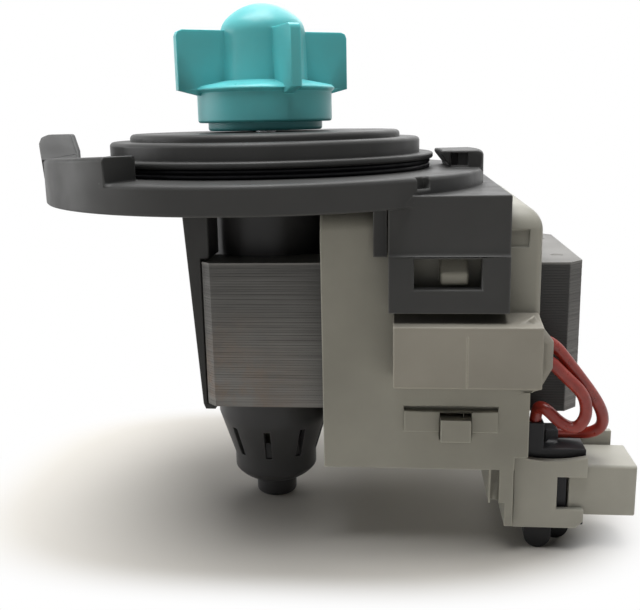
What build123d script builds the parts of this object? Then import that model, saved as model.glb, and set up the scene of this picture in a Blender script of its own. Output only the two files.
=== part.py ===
from build123d import *
import math
import os

# Washer drain pump, in millimetres.
# The origin lies on the rotor axis at the foot of the pilot spigot. +Z points up
# along that axis to the impeller, +X runs along the stator core to the connector,
# and -Y is the side that carries the terminal cover.

# Clearances
loose_gap = 0.3
slip_gap = 0.1
glue_gap = 0.02
shaft_gap = 0.04
cut_extra = 1.0

# Mounting flange with its pilot, nose and seal gland
rim_width = 10.0
flange_thickness = 5.1
gland_height = 1.8
gland_depth = 3.4
collar_width = 2.7
collar_thickness = 1.2
pilot_radius = 31.3
pilot_height = 3.1
nose_step = 4.0
nose_height = 1.4
shell_wall = 1.8
step_chamfer = 0.5
rib_thickness = 1.2
rib_count = 12
boss_wall = 2.5
socket_depth = 4.6
shaft_hole_clear = 1.0
seal_lip_height = 0.9
seal_bulge = 0.45
seal_inset = 0.6

# Bayonet hooks and stop tab on the rim
hook_height = 3.3
hook_lip = 0.7
hook_reach = 8.2
hook_depth = 6.5
hook_foot_height = 0.5
hook_corner = 0.9
hook_post = 2.9
hook_web = 2.2
hook_web_depth = 1.2
hook_pocket_depth = 3.0
hook_pocket_floor = 0.4
hook_pocket_roof = 0.5
hook_start = -9.5
hook_sweep = 24.5
far_hook_turn = 119.0
ramp_width = 7.6
ramp_near_height = 4.4
ramp_far_height = 3.3
ramp_start = -119.0
ramp_sweep = 40.0
ramp_edge = 0.8
tab_start = -155.0
tab_sweep = 15.0
tab_height = 7.8
tab_depth = 6.4
tab_top_depth = 5.5
tab_corner = 1.6
tab_flare = 0.5
tab_slant = 4.2
notch_start = -46.0
notch_sweep = 4.0
notch_height = 2.1
notch_depth = 1.5

# Saddle bracket and core retaining arms under the flange
saddle_inset = 12.2
saddle_width = 20.55
saddle_thickness = 2.1
saddle_stand = 4.8
cheek_thickness = 2.4
cheek_drop = 18.0
cheek_band_drop = 7.5
cheek_band_slope = 0.7
cheek_band_proud = 0.7
cheek_return = 1.6
window_inset = 4.35
window_width = 11.4
window_drop = 8.6
window_height = 5.2
side_rib_width = 2.4
side_rib_stand = 1.5
side_rib_drop = 8.8
arm_width = 9.0
arm_inset = 2.3
arm_root_thickness = 3.35
arm_tip_thickness = 0.85
arm_foot_thickness = 1.1
arm_foot_reach = 1.6
arm_head_reach = 1.7

# Laminated stator core
core_left = 10.4
core_length = 71.4
leg_inner_y = 8.8
leg_width = 11.0
yoke_depth = 10.0
coil_room = 0.7
lamination_thickness = 0.5
lamination_count = 57
pole_gap = 0.3
yoke_corner = 2.6
toe_corner = 1.85
dimple_radius = 1.3
dimple_depth = 0.2
dimple_inset = 3.6
dimple_spread = 11.2

# Rotor can
can_radius = 12.0
can_wall = 1.0
can_end_room = 6.6
can_cone = 9.9
can_tail_radius = 8.9
can_tail = 3.0
can_shoulder = 2.9
can_tip_radius = 4.35
can_tip = 3.8
can_tip_chamfer = 0.6
flute_count = 9
flute_width = 1.3
flute_depth = 0.35
flute_start = 2.2
flute_length = 6.6
flute_turn = -90.5

# Rotor, shaft and bearings
shaft_radius = 2.0
shaft_end_chamfer = 0.4
bearing_radius = 4.5
bearing_length = 3.2
cushion_wall = 1.5
cushion_groove = 0.5
carrier_length = 4.8
carrier_lip = 1.4
washer_radius = 4.2
washer_thickness = 0.6
axial_gap = 0.05
rotor_clear = 0.6
hub_sleeve_radius = 4.5
hub_collar_radius = 6.5
hub_collar_thickness = 2.0
seal_radius = 6.1
seal_pocket_floor = 1.5
shaft_seal_height = 2.0
shaft_seal_groove = 0.7

# Impeller and the lost-motion coupling in its hub
neck_step = 2.0
neck_height = 1.6
drum_radius = 13.6
drum_lip = 0.8
drum_height = 7.1
drum_lip_height = 1.3
drum_crown = 1.0
hub_radius = 8.8
hub_taper = 0.3
hub_height = 23.0
hub_dome = 6.0
hub_shoulder = 4.2
vane_count = 4
vane_turn = -61.5
vane_radius = 18.0
vane_thickness = 2.1
vane_bottom = 5.2
vane_height = 12.5
vane_corner = 1.2
hub_wall = 1.7
neck_wall = 1.7
drum_hollow_depth = 7.0
cavity_radius = 5.6
cavity_depth = 17.2
spigot_depth = 2.6
cover_thickness = 1.8
dog_radius = 3.6
dog_clear = 0.4
dog_height = 11.0
dog_half_angle = 36.0
pad_angle = 6.0
stop_half_angle = 30.0
clip_radius = 3.2
clip_thickness = 0.6
clip_groove = 0.4
clip_mouth = 2.6

# Coil bobbins and windings
bobbin_wall = 1.2
bobbin_reach = 3.2
winding_build = 2.6
winding_corner = 2.0
fuse_radius = 2.2
fuse_length = 12.0
fuse_inset = 8.9
link_radius = 0.6
link_inset = 24.9

# Coil housing and its base
housing_clear = 1.1
housing_overhang = 1.2
housing_room = 1.4
housing_wall = 1.6
base_room = 4.4
housing_waist = 33.6
crown_radius = 4.2
housing_corner = 1.2
relief_gap = 0.45
relief_width = 3.2
relief_height = 2.9
relief_depth = 0.6
catch_inset = 8.8
catch_width = 4.9
catch_drop = 8.5
catch_height = 5.0
catch_ramp = 2.9
catch_reach = 4.2
catch_top_reach = 1.9
catch_undercut = 0.4
snap_inset = 14.9
snap_width = 17.0
snap_drop = 36.7
snap_slot = 0.7
snap_plate_height = 4.1
snap_plate_proud = 0.5
lug_inset = 6.6
lug_width = 5.5
lug_drop = 38.6
lug_height = 4.3
lug_gap = 0.8
lug_reach = 2.0
tongue_side = 1.5
tongue_thickness = 1.1
corner_notch_height = 2.5
stem_inset = 2.5
stem_width = 4.5
stem_depth = 14.4
stem_length = 11.1
stem_cut_width = 1.5
stem_cut_height = 4.6
stem_slot_inset = 0.4
stem_slot_width = 1.5
stem_slot_length = 6.5
stem_slot_depth = 1.4

# Terminal cover on the front of the housing
panel_inset = 13.0
panel_width = 25.4
panel_reach = 7.0
panel_drop = 20.1
panel_height = 11.0
panel_slope = 1.1
panel_wall = 1.4
panel_cheek = 3.2
wing_out = 2.1
wing_thickness = 1.5
wing_top = 1.6
wing_shoulder = 4.6
wing_belly = 4.8
wing_end = 4.0
wing_rise = 3.2
wing_edge = 0.9

# Leads, crimped at the terminals, as centre line points
lead_radius = 1.1
lead_front_points = [
    (48.6, -29.9, -34.3),
    (52.9, -29.7, -34.4),
    (56.7, -28.9, -38.4),
    (60.3, -28.0, -42.0),
    (61.1, -27.0, -46.3),
    (59.5, -26.6, -49.0),
    (56.8, -26.0, -48.3),
    (53.9, -25.2, -45.4),
    (52.7, -22.4, -46.3),
    (52.7, -22.4, -50.9),
]
lead_rear_points = [
    (48.6, -28.9, -31.2),
    (53.2, -28.7, -30.9),
    (58.3, -27.1, -37.4),
    (63.9, -24.2, -45.0),
    (65.3, -22.4, -49.5),
    (63.5, -21.0, -51.8),
    (60.5, -18.6, -52.7),
    (57.4, -18.6, -52.7),
]
bend_share = 0.45
barrel_radius = 1.4
barrel_length = 4.6
receptacle_length = 6.6
receptacle_height = 2.4
tab_width = 5.0
tab_thickness = 0.8

# Connector holder, terminal block and connector shell
holder_width = 13.4
holder_set_back = 1.8
holder_height = 14.3
holder_wall = 1.3
holder_dip = 0.8
holder_window_width = 5.4
holder_window_drop = 4.15
holder_window_height = 6.3
block_show = 2.0
holder_corner = 1.4
holder_lower_inset = 0.4
holder_rise = 2.15
holder_rear_reach = 6.9
holder_rear_rise = 0.65
holder_tongue_height = 5.0
holder_tongue_width = 4.0
holder_tongue_reach = 2.1
block_rise = 0.85
post_width = 3.0
post_depth = 3.2
post_seat = 2.0
block_base = 1.7
block_rear = 8.0
riser_length = 2.4
riser_width = 4.0
riser_height = 2.5
foot_radius = 2.5
foot_depth = 3.0
foot_one_inset = 3.4
foot_two_inset = 7.4
foot_two_set_back = 3.9
foot_three_inset = 4.7
shell_length = 12.3
shell_depth = 10.8
shell_drop = 2.1
shell_height = 10.1
socket_wall = 1.1
mouth_depth = 8.7
shell_edge = 0.6
pin_width = 1.6
pin_thickness = 0.8
pin_reach = 3.6
pin_pitch = 4.0
pin_tail = 2.4

# Radii worked out from the sizes above
collar_radius = pilot_radius + collar_width
flange_radius = collar_radius + rim_width
gland_root_radius = collar_radius - gland_depth
nose_radius = pilot_radius - nose_step
boss_radius = can_radius + slip_gap + boss_wall
shaft_hole_radius = shaft_radius + shaft_hole_clear
hook_tip_radius = flange_radius - hook_reach
hook_foot_radius = flange_radius - hook_depth
ramp_inner_radius = flange_radius - ramp_width
tab_foot_radius = flange_radius - tab_depth
tab_top_radius = flange_radius - tab_top_depth
can_bore_radius = can_radius - can_wall
magnet_radius = can_bore_radius - rotor_clear
cushion_radius = bearing_radius + cushion_wall
neck_radius = drum_radius - neck_step
drum_lip_radius = drum_radius + drum_lip
hub_top_radius = hub_radius - hub_taper
drum_hollow_inner = cavity_radius + hub_wall
drum_hollow_outer = neck_radius - neck_wall
dog_lug_radius = cavity_radius - dog_clear
stop_radius = dog_radius + loose_gap

# Places along and across the core, worked out from the sizes above
winding_clear = slip_gap * 2
core_right = core_length - core_left
core_half_width = leg_inner_y + leg_width
yoke_inner_x = core_right - yoke_depth
arm_outer_y = core_half_width - arm_inset
arm_inner_y = arm_outer_y - arm_width
housing_left = can_radius + pole_gap + housing_clear
housing_right = yoke_inner_x + housing_overhang
housing_lower_right = yoke_inner_x - slip_gap
housing_inner_right = housing_lower_right - housing_wall
housing_half_width = core_half_width + winding_clear + bobbin_wall + bobbin_reach + housing_room + housing_wall
bobbin_start = housing_left + housing_wall + slip_gap
bobbin_end = housing_inner_right - winding_clear
fuse_start = bobbin_start + fuse_inset
link_x = bobbin_start + link_inset
saddle_left = housing_left + saddle_inset
saddle_right = saddle_left + saddle_width
relief_left = saddle_right + relief_gap
relief_right = relief_left + relief_width
saddle_reach = housing_half_width + loose_gap + saddle_stand
window_left = saddle_left + window_inset
window_right = window_left + window_width
side_rib_right = saddle_left - loose_gap
side_rib_left = side_rib_right - side_rib_width
side_rib_reach = housing_half_width + loose_gap + side_rib_stand
catch_left = saddle_left + catch_inset
catch_right = catch_left + catch_width
snap_left = housing_left + snap_inset
snap_right = snap_left + snap_width
lug_left = snap_left + lug_inset
lug_right = lug_left + lug_width
stem_right = housing_lower_right - stem_inset
stem_left = stem_right - stem_width
stem_cut_x = stem_right - stem_cut_width
stem_slot_left = stem_left + stem_slot_inset
stem_slot_right = stem_slot_left + stem_slot_width
corner_notch_x = stem_right + slip_gap
panel_left = housing_left + panel_inset
panel_right = panel_left + panel_width
holder_left = stem_right + loose_gap
holder_right = holder_left + holder_width
holder_front = housing_half_width - holder_set_back
holder_inner_front = holder_front - holder_wall
holder_rear_right = holder_right + holder_rear_reach
holder_window_left = holder_right - holder_window_width
block_left = holder_left + holder_wall + loose_gap
block_column_right = holder_window_left + block_show
block_right = holder_right - slip_gap
block_front = holder_inner_front - loose_gap
foot_one_x = block_left + foot_one_inset
foot_two_x = block_left + foot_two_inset
foot_three_x = block_left + foot_three_inset
shell_left = block_column_right + loose_gap
shell_back_y = shell_depth - holder_inner_front

# Heights worked out from the sizes above
coil_rise = winding_clear + bobbin_wall + bobbin_reach
core_drop = loose_gap + crown_radius + housing_wall + coil_room + coil_rise
face_z = -(gland_height + collar_thickness)
flange_bottom_z = face_z - flange_thickness
nose_top_z = pilot_height + nose_height
core_height = lamination_thickness * lamination_count
core_top_z = flange_bottom_z - core_drop
core_bottom_z = core_top_z - core_height
core_mid_z = (core_top_z + core_bottom_z) / 2
shoulder_z = flange_bottom_z + socket_depth
can_cone_z = core_bottom_z - can_end_room
can_tail_z = can_cone_z - can_cone
can_shoulder_z = can_tail_z - can_tail
can_tip_z = can_shoulder_z - can_shoulder
floor_z = can_tip_z - can_tip
carrier_z = shoulder_z - carrier_length
rotor_top_z = carrier_z - washer_thickness - 2 * axial_gap
pocket_floor_z = can_shoulder_z
rear_bearing_top_z = pocket_floor_z + bearing_length
rotor_bottom_z = rear_bearing_top_z + washer_thickness + 2 * axial_gap
impeller_z = nose_top_z + loose_gap
drum_z = impeller_z + neck_height
drum_top_z = drum_z + drum_height
hub_top_z = drum_z + hub_height
cavity_top_z = impeller_z + cavity_depth
housing_top_z = flange_bottom_z - loose_gap
housing_bottom_z = core_bottom_z - coil_rise - base_room
base_step = base_room - winding_clear
housing_waist_z = housing_top_z - housing_waist
housing_crown_z = housing_top_z - crown_radius
holder_top_z = housing_bottom_z + holder_rise
holder_bottom_z = holder_top_z - holder_height
block_bottom_z = holder_bottom_z
block_top_z = holder_top_z + block_rise
shell_top_z = holder_top_z - shell_drop


def box_between(x_low, x_high, y_low, y_high, z_low, z_high):
    corner = (Align.MIN, Align.MIN, Align.MIN)
    solid = Box(x_high - x_low, y_high - y_low, z_high - z_low, align=corner)
    return Pos(x_low, y_low, z_low) * solid


def disc(radius, z_low, z_high, x=0.0, y=0.0):
    upright = (Align.CENTER, Align.CENTER, Align.MIN)
    return Pos(x, y, z_low) * Cylinder(radius, z_high - z_low, align=upright)


def tube(outer, inner, z_low, z_high):
    return disc(outer, z_low, z_high) - disc(inner, z_low, z_high)


def rod_x(radius, x_low, x_high, y, z):
    upright = (Align.CENTER, Align.CENTER, Align.MIN)
    solid = Cylinder(radius, x_high - x_low, align=upright)
    return Pos(x_low, y, z) * Rot(0, 90, 0) * solid


def revolved(points, sweep=360.0, start=0.0):
    face = Plane.XZ * Polygon(*points, align=None)
    return Rot(0, 0, start) * revolve(face, axis=Axis.Z, revolution_arc=sweep)


def prism_xy(points, z_low, z_high):
    face = Pos(0, 0, z_low) * Polygon(*points, align=None)
    return extrude(face, amount=z_high - z_low, dir=(0, 0, 1))


def prism_xz(points, y_low, y_high):
    sheet = Plane(origin=(0, y_low, 0), x_dir=(1, 0, 0), z_dir=(0, -1, 0))
    return extrude(sheet * Polygon(*points, align=None), amount=y_high - y_low, dir=(0, 1, 0))


def prism_yz(points, x_low, x_high):
    sheet = Plane(origin=(x_low, 0, 0), x_dir=(0, 1, 0), z_dir=(1, 0, 0))
    return extrude(sheet * Polygon(*points, align=None), amount=x_high - x_low, dir=(1, 0, 0))


def sector(outer, inner, z_low, z_high, start, sweep):
    points = [(inner, z_low), (outer, z_low), (outer, z_high), (inner, z_high)]
    return revolved(points, sweep, start)


def both_sides(solid):
    return solid + mirror(solid, about=Plane.XZ)


def upright_edges(solid, x, y_size):
    edges = solid.edges().filter_by(Axis.Z)
    return [e for e in edges if abs(e.center().X - x) < glue_gap and abs(abs(e.center().Y) - y_size) < glue_gap]


def crown_edges(solid, left):
    return [e for e in solid.edges().group_by(Axis.Z)[-1] if e.center().X > left + glue_gap]


def flange_plate():
    chamfer = step_chamfer
    points = [
        (0, flange_bottom_z),
        (flange_radius, flange_bottom_z),
        (flange_radius, face_z - chamfer),
        (flange_radius - chamfer, face_z),
        (gland_root_radius, face_z),
        (gland_root_radius, face_z + gland_height),
        (collar_radius, face_z + gland_height),
        (collar_radius, 0),
        (pilot_radius, 0),
        (pilot_radius, pilot_height - chamfer),
        (pilot_radius - chamfer, pilot_height),
        (nose_radius, pilot_height),
        (nose_radius, nose_top_z - chamfer),
        (nose_radius - chamfer, nose_top_z),
        (0, nose_top_z),
    ]
    return revolved(points)


def underside_cells():
    low = flange_bottom_z - cut_extra
    pilot_roof = pilot_height - shell_wall
    core_out = gland_root_radius - shell_wall
    rim_out = flange_radius - shell_wall
    cells = tube(core_out, boss_radius, low, pilot_roof)
    cells += tube(nose_radius - shell_wall, boss_radius, pilot_roof, nose_top_z - shell_wall)
    cells += tube(rim_out, gland_root_radius, low, face_z - shell_wall)
    for inner, outer in ((boss_radius, core_out), (gland_root_radius, rim_out)):
        middle = (inner + outer) / 2
        cells -= tube(middle + rib_thickness / 2, middle - rib_thickness / 2, low, nose_top_z)
    spoke = box_between(0, flange_radius, -rib_thickness / 2, rib_thickness / 2, low, nose_top_z)
    for index in range(rib_count):
        cells -= Rot(0, 0, 360 * (index + 0.5) / rib_count) * spoke
    cells -= box_between(saddle_left, saddle_right, -flange_radius, flange_radius, low, nose_top_z)
    cells -= box_between(side_rib_left, side_rib_right, -flange_radius, flange_radius, low, nose_top_z)
    arm_left = -(core_left + loose_gap + arm_root_thickness)
    cells -= box_between(arm_left, 0, -arm_outer_y, arm_outer_y, low, nose_top_z)
    return cells


def bayonet_ramp():
    low = face_z - step_chamfer
    ramp = sector(flange_radius, ramp_inner_radius, low, face_z + ramp_near_height, ramp_start - ramp_sweep, ramp_sweep)
    mean_radius = (flange_radius + ramp_inner_radius) / 2
    half_run = mean_radius * math.sin(math.radians(ramp_sweep / 2))
    fall = ramp_near_height - ramp_far_height
    tilt = math.degrees(math.atan2(fall, 2 * half_run))
    reach = flange_radius
    cutter = box_between(-reach, reach, -reach, reach, 0, ramp_near_height)
    middle = Vector(mean_radius * math.cos(math.radians(ramp_start - ramp_sweep / 2)),
                    mean_radius * math.sin(math.radians(ramp_start - ramp_sweep / 2)),
                    face_z + (ramp_near_height + ramp_far_height) / 2)
    turn = ramp_start - ramp_sweep / 2
    ramp -= Pos(middle) * Rot(0, 0, turn) * Rot(tilt, 0, 0) * cutter
    tops = [e for e in ramp.edges() if e.length > half_run and e.center().Z > face_z + ramp_far_height / 2]
    return fillet(tops, ramp_edge)


def stop_tab():
    low = face_z - step_chamfer
    top = face_z + tab_height
    outer = flange_radius + tab_flare
    points = [
        (tab_foot_radius, low),
        (flange_radius, low),
        (outer, top - tab_corner),
        (outer - tab_corner * 0.3, top - tab_corner * 0.3),
        (outer - tab_corner, top),
        (tab_top_radius, top),
        (tab_foot_radius, face_z + ramp_near_height),
    ]
    tab = revolved(points, tab_sweep, tab_start - tab_sweep)
    foot_z = face_z + ramp_far_height
    slant = [(0, foot_z), (-tab_slant, top), (-tab_slant, top + cut_extra), (cut_extra, top + cut_extra), (cut_extra, foot_z)]
    return tab - Rot(0, 0, tab_start) * prism_yz(slant, 0, outer + cut_extra)


def bayonet_hook():
    low = face_z - step_chamfer
    top = face_z + hook_height
    points = [
        (hook_foot_radius, low),
        (flange_radius, low),
        (flange_radius, top - hook_corner),
        (flange_radius - hook_corner * 0.3, top - hook_corner * 0.3),
        (flange_radius - hook_corner, top),
        (hook_tip_radius, top),
        (hook_tip_radius, top - hook_lip),
        (hook_foot_radius, face_z + hook_foot_height),
    ]
    hook = revolved(points, hook_sweep, hook_start)
    post = flange_radius - hook_post
    floor = face_z + hook_pocket_floor
    roof = top - hook_pocket_roof
    for outer, depth in ((post, hook_web_depth), (post - hook_web, hook_pocket_depth)):
        turn = math.degrees(depth / flange_radius)
        hook -= sector(outer, hook_foot_radius + loose_gap, floor, roof, hook_start - turn, 2 * turn)
    return hook


def saddle():
    bottom = flange_bottom_z - cheek_drop
    band = flange_bottom_z - cheek_band_drop
    inner = housing_half_width + loose_gap
    profile = [
        (-saddle_reach, flange_bottom_z + saddle_thickness),
        (-saddle_reach, band),
        (-saddle_reach - cheek_band_proud, band - cheek_band_slope),
        (-saddle_reach - cheek_band_proud, bottom),
        (-saddle_reach + cheek_thickness, bottom),
        (-saddle_reach + cheek_thickness, flange_bottom_z),
        (0, flange_bottom_z),
        (0, flange_bottom_z + saddle_thickness),
    ]
    half = prism_yz(profile, saddle_left, saddle_right)
    window_top = flange_bottom_z - window_drop
    half -= box_between(window_left, window_right, -saddle_reach - cheek_band_proud - cut_extra, -inner,
                        window_top - window_height, window_top)
    for left in (saddle_left, saddle_right - cheek_return):
        half += box_between(left, left + cheek_return, -saddle_reach, -inner, bottom, flange_bottom_z)
    half += box_between(side_rib_left, side_rib_right, -side_rib_reach, -inner,
                        flange_bottom_z - side_rib_drop, flange_bottom_z + saddle_thickness / 2)
    return both_sides(half)


def retaining_arm():
    inner = -(core_left + loose_gap)
    toe_z = core_bottom_z - loose_gap
    head_z = core_top_z + loose_gap
    points = [
        (inner + arm_head_reach, flange_bottom_z + saddle_thickness),
        (inner - arm_root_thickness, flange_bottom_z + saddle_thickness),
        (inner - arm_root_thickness, flange_bottom_z),
        (inner - arm_tip_thickness, toe_z),
        (inner - arm_tip_thickness / 2, toe_z - arm_foot_thickness),
        (inner + arm_foot_reach, toe_z - arm_foot_thickness),
        (inner + arm_foot_reach, toe_z),
        (inner, toe_z),
        (inner, head_z),
        (inner + arm_head_reach, head_z),
    ]
    return prism_xz(points, -arm_outer_y, -arm_inner_y)


def flange_body():
    body = flange_plate() - underside_cells()
    body += bayonet_ramp() + stop_tab() + bayonet_hook()
    body += Rot(0, 0, far_hook_turn) * bayonet_hook()
    body += saddle()
    body += both_sides(retaining_arm())
    body -= sector(flange_radius + cut_extra, flange_radius - notch_depth, face_z - notch_height,
                   face_z + cut_extra, notch_start, notch_sweep)
    body -= disc(can_radius + slip_gap, flange_bottom_z - cut_extra, shoulder_z)
    body -= disc(shaft_hole_radius, shoulder_z - cut_extra, nose_top_z + cut_extra)
    body -= disc(seal_radius + slip_gap, seal_pocket_floor, nose_top_z + cut_extra)
    return body


def seal_ring():
    outer = collar_radius - seal_inset - seal_bulge
    low = face_z
    middle = low + gland_height / 2
    high = low + gland_height
    with BuildSketch(Plane.XZ) as section:
        with BuildLine():
            Polyline((outer, low), (gland_root_radius, low), (gland_root_radius, high), (outer, high))
            ThreePointArc((outer, high), (outer + seal_bulge, (high + middle) / 2), (outer, middle))
            ThreePointArc((outer, middle), (outer + seal_bulge, (low + middle) / 2), (outer, low))
        make_face()
    return revolve(section.sketch, axis=Axis.Z)


def rotor_can():
    wall = can_wall
    chamfer = can_tip_chamfer
    pocket = cushion_radius + slip_gap
    outer = [
        (can_radius, shoulder_z),
        (can_radius, can_cone_z),
        (can_tail_radius, can_tail_z),
        (can_tail_radius, can_shoulder_z),
    ]
    tip = [
        (can_tip_radius, can_tip_z),
        (can_tip_radius, floor_z + chamfer),
        (can_tip_radius - chamfer, floor_z),
        (0, floor_z),
    ]
    inner = [
        (0, pocket_floor_z),
        (pocket, pocket_floor_z),
        (pocket, rear_bearing_top_z),
        (can_bore_radius, can_cone_z - wall),
        (can_bore_radius, shoulder_z),
    ]
    with BuildSketch(Plane.XZ) as section:
        with BuildLine():
            Polyline(*outer)
            RadiusArc(outer[-1], tip[0], can_shoulder + can_tail_radius - can_tip_radius)
            Polyline(*tip)
            Polyline(tip[-1], *inner, outer[0])
        make_face()
    can = revolve(section.sketch, axis=Axis.Z)
    flute_top = can_cone_z - flute_start
    flute = box_between(can_tail_radius - flute_depth, can_radius + cut_extra, -flute_width / 2, flute_width / 2,
                        flute_top - flute_length, flute_top)
    for index in range(flute_count):
        can -= Rot(0, 0, flute_turn + 360 * index / flute_count) * flute
    return can


def bearing_carrier():
    carrier = tube(can_bore_radius - slip_gap, shaft_hole_radius, carrier_z, shoulder_z)
    pocket_top = carrier_z + bearing_length
    return carrier - disc(cushion_radius + glue_gap, carrier_z - cut_extra, pocket_top)


def bearing(z_low):
    bore = shaft_radius + shaft_gap
    bush = tube(bearing_radius, bore, z_low, z_low + bearing_length)
    groove_mid = z_low + bearing_length / 2
    groove = tube(bearing_radius + cut_extra, bearing_radius - cushion_groove,
                  groove_mid - cushion_groove, groove_mid + cushion_groove)
    return bush - groove


def bearing_cushion(z_low):
    return tube(cushion_radius, bearing_radius + glue_gap, z_low, z_low + bearing_length)


def thrust_washers():
    bore = shaft_radius + shaft_gap
    front_z = carrier_z - axial_gap - washer_thickness
    rear_z = rear_bearing_top_z + axial_gap
    front = tube(washer_radius, bore, front_z, front_z + washer_thickness)
    rear = tube(washer_radius, bore, rear_z, rear_z + washer_thickness)
    return front + rear


def shaft_seal():
    bore = shaft_radius + shaft_gap
    low = seal_pocket_floor
    high = low + shaft_seal_height
    ring = tube(seal_radius, bore, low, high)
    middle = (seal_radius + bore) / 2
    return ring - tube(middle + shaft_seal_groove, middle - shaft_seal_groove, high - shaft_seal_groove, high)


def shaft():
    low = pocket_floor_z + shaft_end_chamfer
    high = cavity_top_z + spigot_depth - loose_gap
    chamfer = shaft_end_chamfer
    groove_z = dog_top_z() + axial_gap
    points = [
        (0, low),
        (shaft_radius - chamfer, low),
        (shaft_radius, low + chamfer),
        (shaft_radius, groove_z),
        (shaft_radius - clip_groove, groove_z),
        (shaft_radius - clip_groove, groove_z + clip_thickness),
        (shaft_radius, groove_z + clip_thickness),
        (shaft_radius, high - chamfer),
        (shaft_radius - chamfer, high),
        (0, high),
    ]
    return revolved(points)


def rotor_magnet():
    return tube(magnet_radius, hub_sleeve_radius + glue_gap, core_bottom_z, core_top_z)


def rotor_hub():
    bore = shaft_radius + glue_gap
    hub = tube(hub_sleeve_radius, bore, rotor_bottom_z, rotor_top_z)
    hub += tube(hub_collar_radius, bore, core_top_z + glue_gap, core_top_z + hub_collar_thickness)
    hub += tube(hub_collar_radius, bore, core_bottom_z - hub_collar_thickness, core_bottom_z - glue_gap)
    return hub


def dog_top_z():
    return dog_low_z() + dog_height


def dog_low_z():
    return impeller_z + slip_gap + cover_thickness + loose_gap


def drive_dog():
    bore = shaft_radius + glue_gap
    low = dog_low_z()
    dog = tube(dog_radius, bore, low, dog_top_z())
    lug_start = vane_turn + 180 - dog_half_angle
    return dog + sector(dog_lug_radius, bore, low, dog_top_z(), lug_start, 2 * dog_half_angle)


def coupling_damper():
    low = dog_low_z()
    inner = dog_radius + glue_gap
    first = sector(dog_lug_radius, inner, low, dog_top_z(), vane_turn + 180 + dog_half_angle, pad_angle)
    second = sector(dog_lug_radius, inner, low, dog_top_z(), vane_turn + 180 - dog_half_angle - pad_angle, pad_angle)
    return first + second


def shaft_clip():
    low = dog_top_z() + axial_gap
    ring = tube(clip_radius, shaft_radius - clip_groove + glue_gap, low, low + clip_thickness)
    mouth = box_between(0, clip_radius + cut_extra, -clip_mouth / 2, clip_mouth / 2, low, low + clip_thickness)
    return ring - Rot(0, 0, vane_turn) * mouth


def impeller_vane():
    root = (hub_radius + cavity_radius) / 2
    low = drum_z + vane_bottom
    high = low + vane_height
    corner = vane_corner
    half = vane_thickness / 2
    points = [
        (root, low),
        (drum_lip_radius - corner, low),
        (vane_radius, low + corner),
        (vane_radius, high - corner),
        (vane_radius - corner * 0.3, high - corner * 0.3),
        (vane_radius - corner, high),
        (root, high),
    ]
    return prism_xz(points, -half, half)


def impeller():
    lip_low = drum_top_z - drum_lip_height
    lip_mid = drum_top_z - drum_lip_height / 2
    dome_z = hub_top_z - hub_dome
    crown_z = drum_top_z + drum_crown
    inset = hub_top_radius - hub_shoulder
    crown = (inset ** 2 + hub_dome ** 2 - hub_shoulder ** 2) / (2 * (hub_dome - hub_shoulder))
    reach = crown / (crown - hub_shoulder)
    meet = (inset * reach, dome_z + (crown - hub_dome) * (reach - 1))
    with BuildSketch(Plane.XZ) as section:
        with BuildLine():
            Polyline((hub_top_radius, dome_z), (hub_radius, crown_z), (drum_radius, drum_top_z),
                     (drum_lip_radius, lip_mid), (drum_radius, lip_low), (drum_radius, drum_z),
                     (neck_radius, drum_z), (neck_radius, impeller_z), (0, impeller_z), (0, hub_top_z))
            RadiusArc((0, hub_top_z), meet, crown)
            RadiusArc(meet, (hub_top_radius, dome_z), hub_shoulder)
        make_face()
    body = revolve(section.sketch, axis=Axis.Z)
    for index in range(vane_count):
        body += Rot(0, 0, vane_turn + 360 * index / vane_count) * impeller_vane()
    body -= tube(drum_hollow_outer, drum_hollow_inner, impeller_z - cut_extra, impeller_z + drum_hollow_depth)
    body -= disc(cavity_radius, impeller_z - cut_extra, cavity_top_z)
    body -= disc(shaft_radius + shaft_gap, cavity_top_z - cut_extra, cavity_top_z + spigot_depth)
    stop = sector(cavity_radius + glue_gap, stop_radius, dog_low_z(), cavity_top_z,
                  vane_turn - stop_half_angle, 2 * stop_half_angle)
    return body + stop


def coupling_cover():
    low = impeller_z + slip_gap
    return tube(cavity_radius - glue_gap, shaft_radius + shaft_gap, low, low + cover_thickness)


def stator_core():
    half = core_half_width
    inner = leg_inner_y
    gap_end = yoke_inner_x
    toe = toe_corner
    corner = yoke_corner
    points = [
        (-core_left, inner),
        (-core_left, half - toe),
        (-core_left + toe, half),
        (core_right - corner, half),
        (core_right, half - corner),
        (core_right, -half + corner),
        (core_right - corner, -half),
        (-core_left + toe, -half),
        (-core_left, -half + toe),
        (-core_left, -inner),
        (gap_end, -inner),
        (gap_end, inner),
    ]
    core = prism_xy(points, core_bottom_z, core_top_z)
    core -= disc(can_radius + pole_gap, core_bottom_z - cut_extra, core_top_z + cut_extra)
    x = core_right - dimple_inset
    for y in (-dimple_spread, dimple_spread):
        core -= disc(dimple_radius, core_top_z - dimple_depth, core_top_z + cut_extra, x, y)
    return core


def leg_box(x_low, x_high, grow):
    return box_between(x_low, x_high, -core_half_width - grow, -leg_inner_y + grow,
                       core_bottom_z - grow, core_top_z + grow)


def front_bobbin():
    bore = winding_clear
    wall = bore + bobbin_wall
    bobbin = leg_box(bobbin_start, bobbin_end, wall)
    for left in (bobbin_start, bobbin_end - bobbin_wall):
        bobbin += leg_box(left, left + bobbin_wall, wall + bobbin_reach)
    return bobbin - leg_box(bobbin_start - cut_extra, bobbin_end + cut_extra, bore)


def front_winding():
    inner = winding_clear + bobbin_wall + glue_gap
    left = bobbin_start + bobbin_wall + glue_gap
    right = bobbin_end - bobbin_wall - glue_gap
    coil = leg_box(left, right, inner + winding_build)
    coil = fillet(coil.edges().filter_by(Axis.X), winding_corner)
    return coil - leg_box(left - cut_extra, right + cut_extra, inner)


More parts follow.
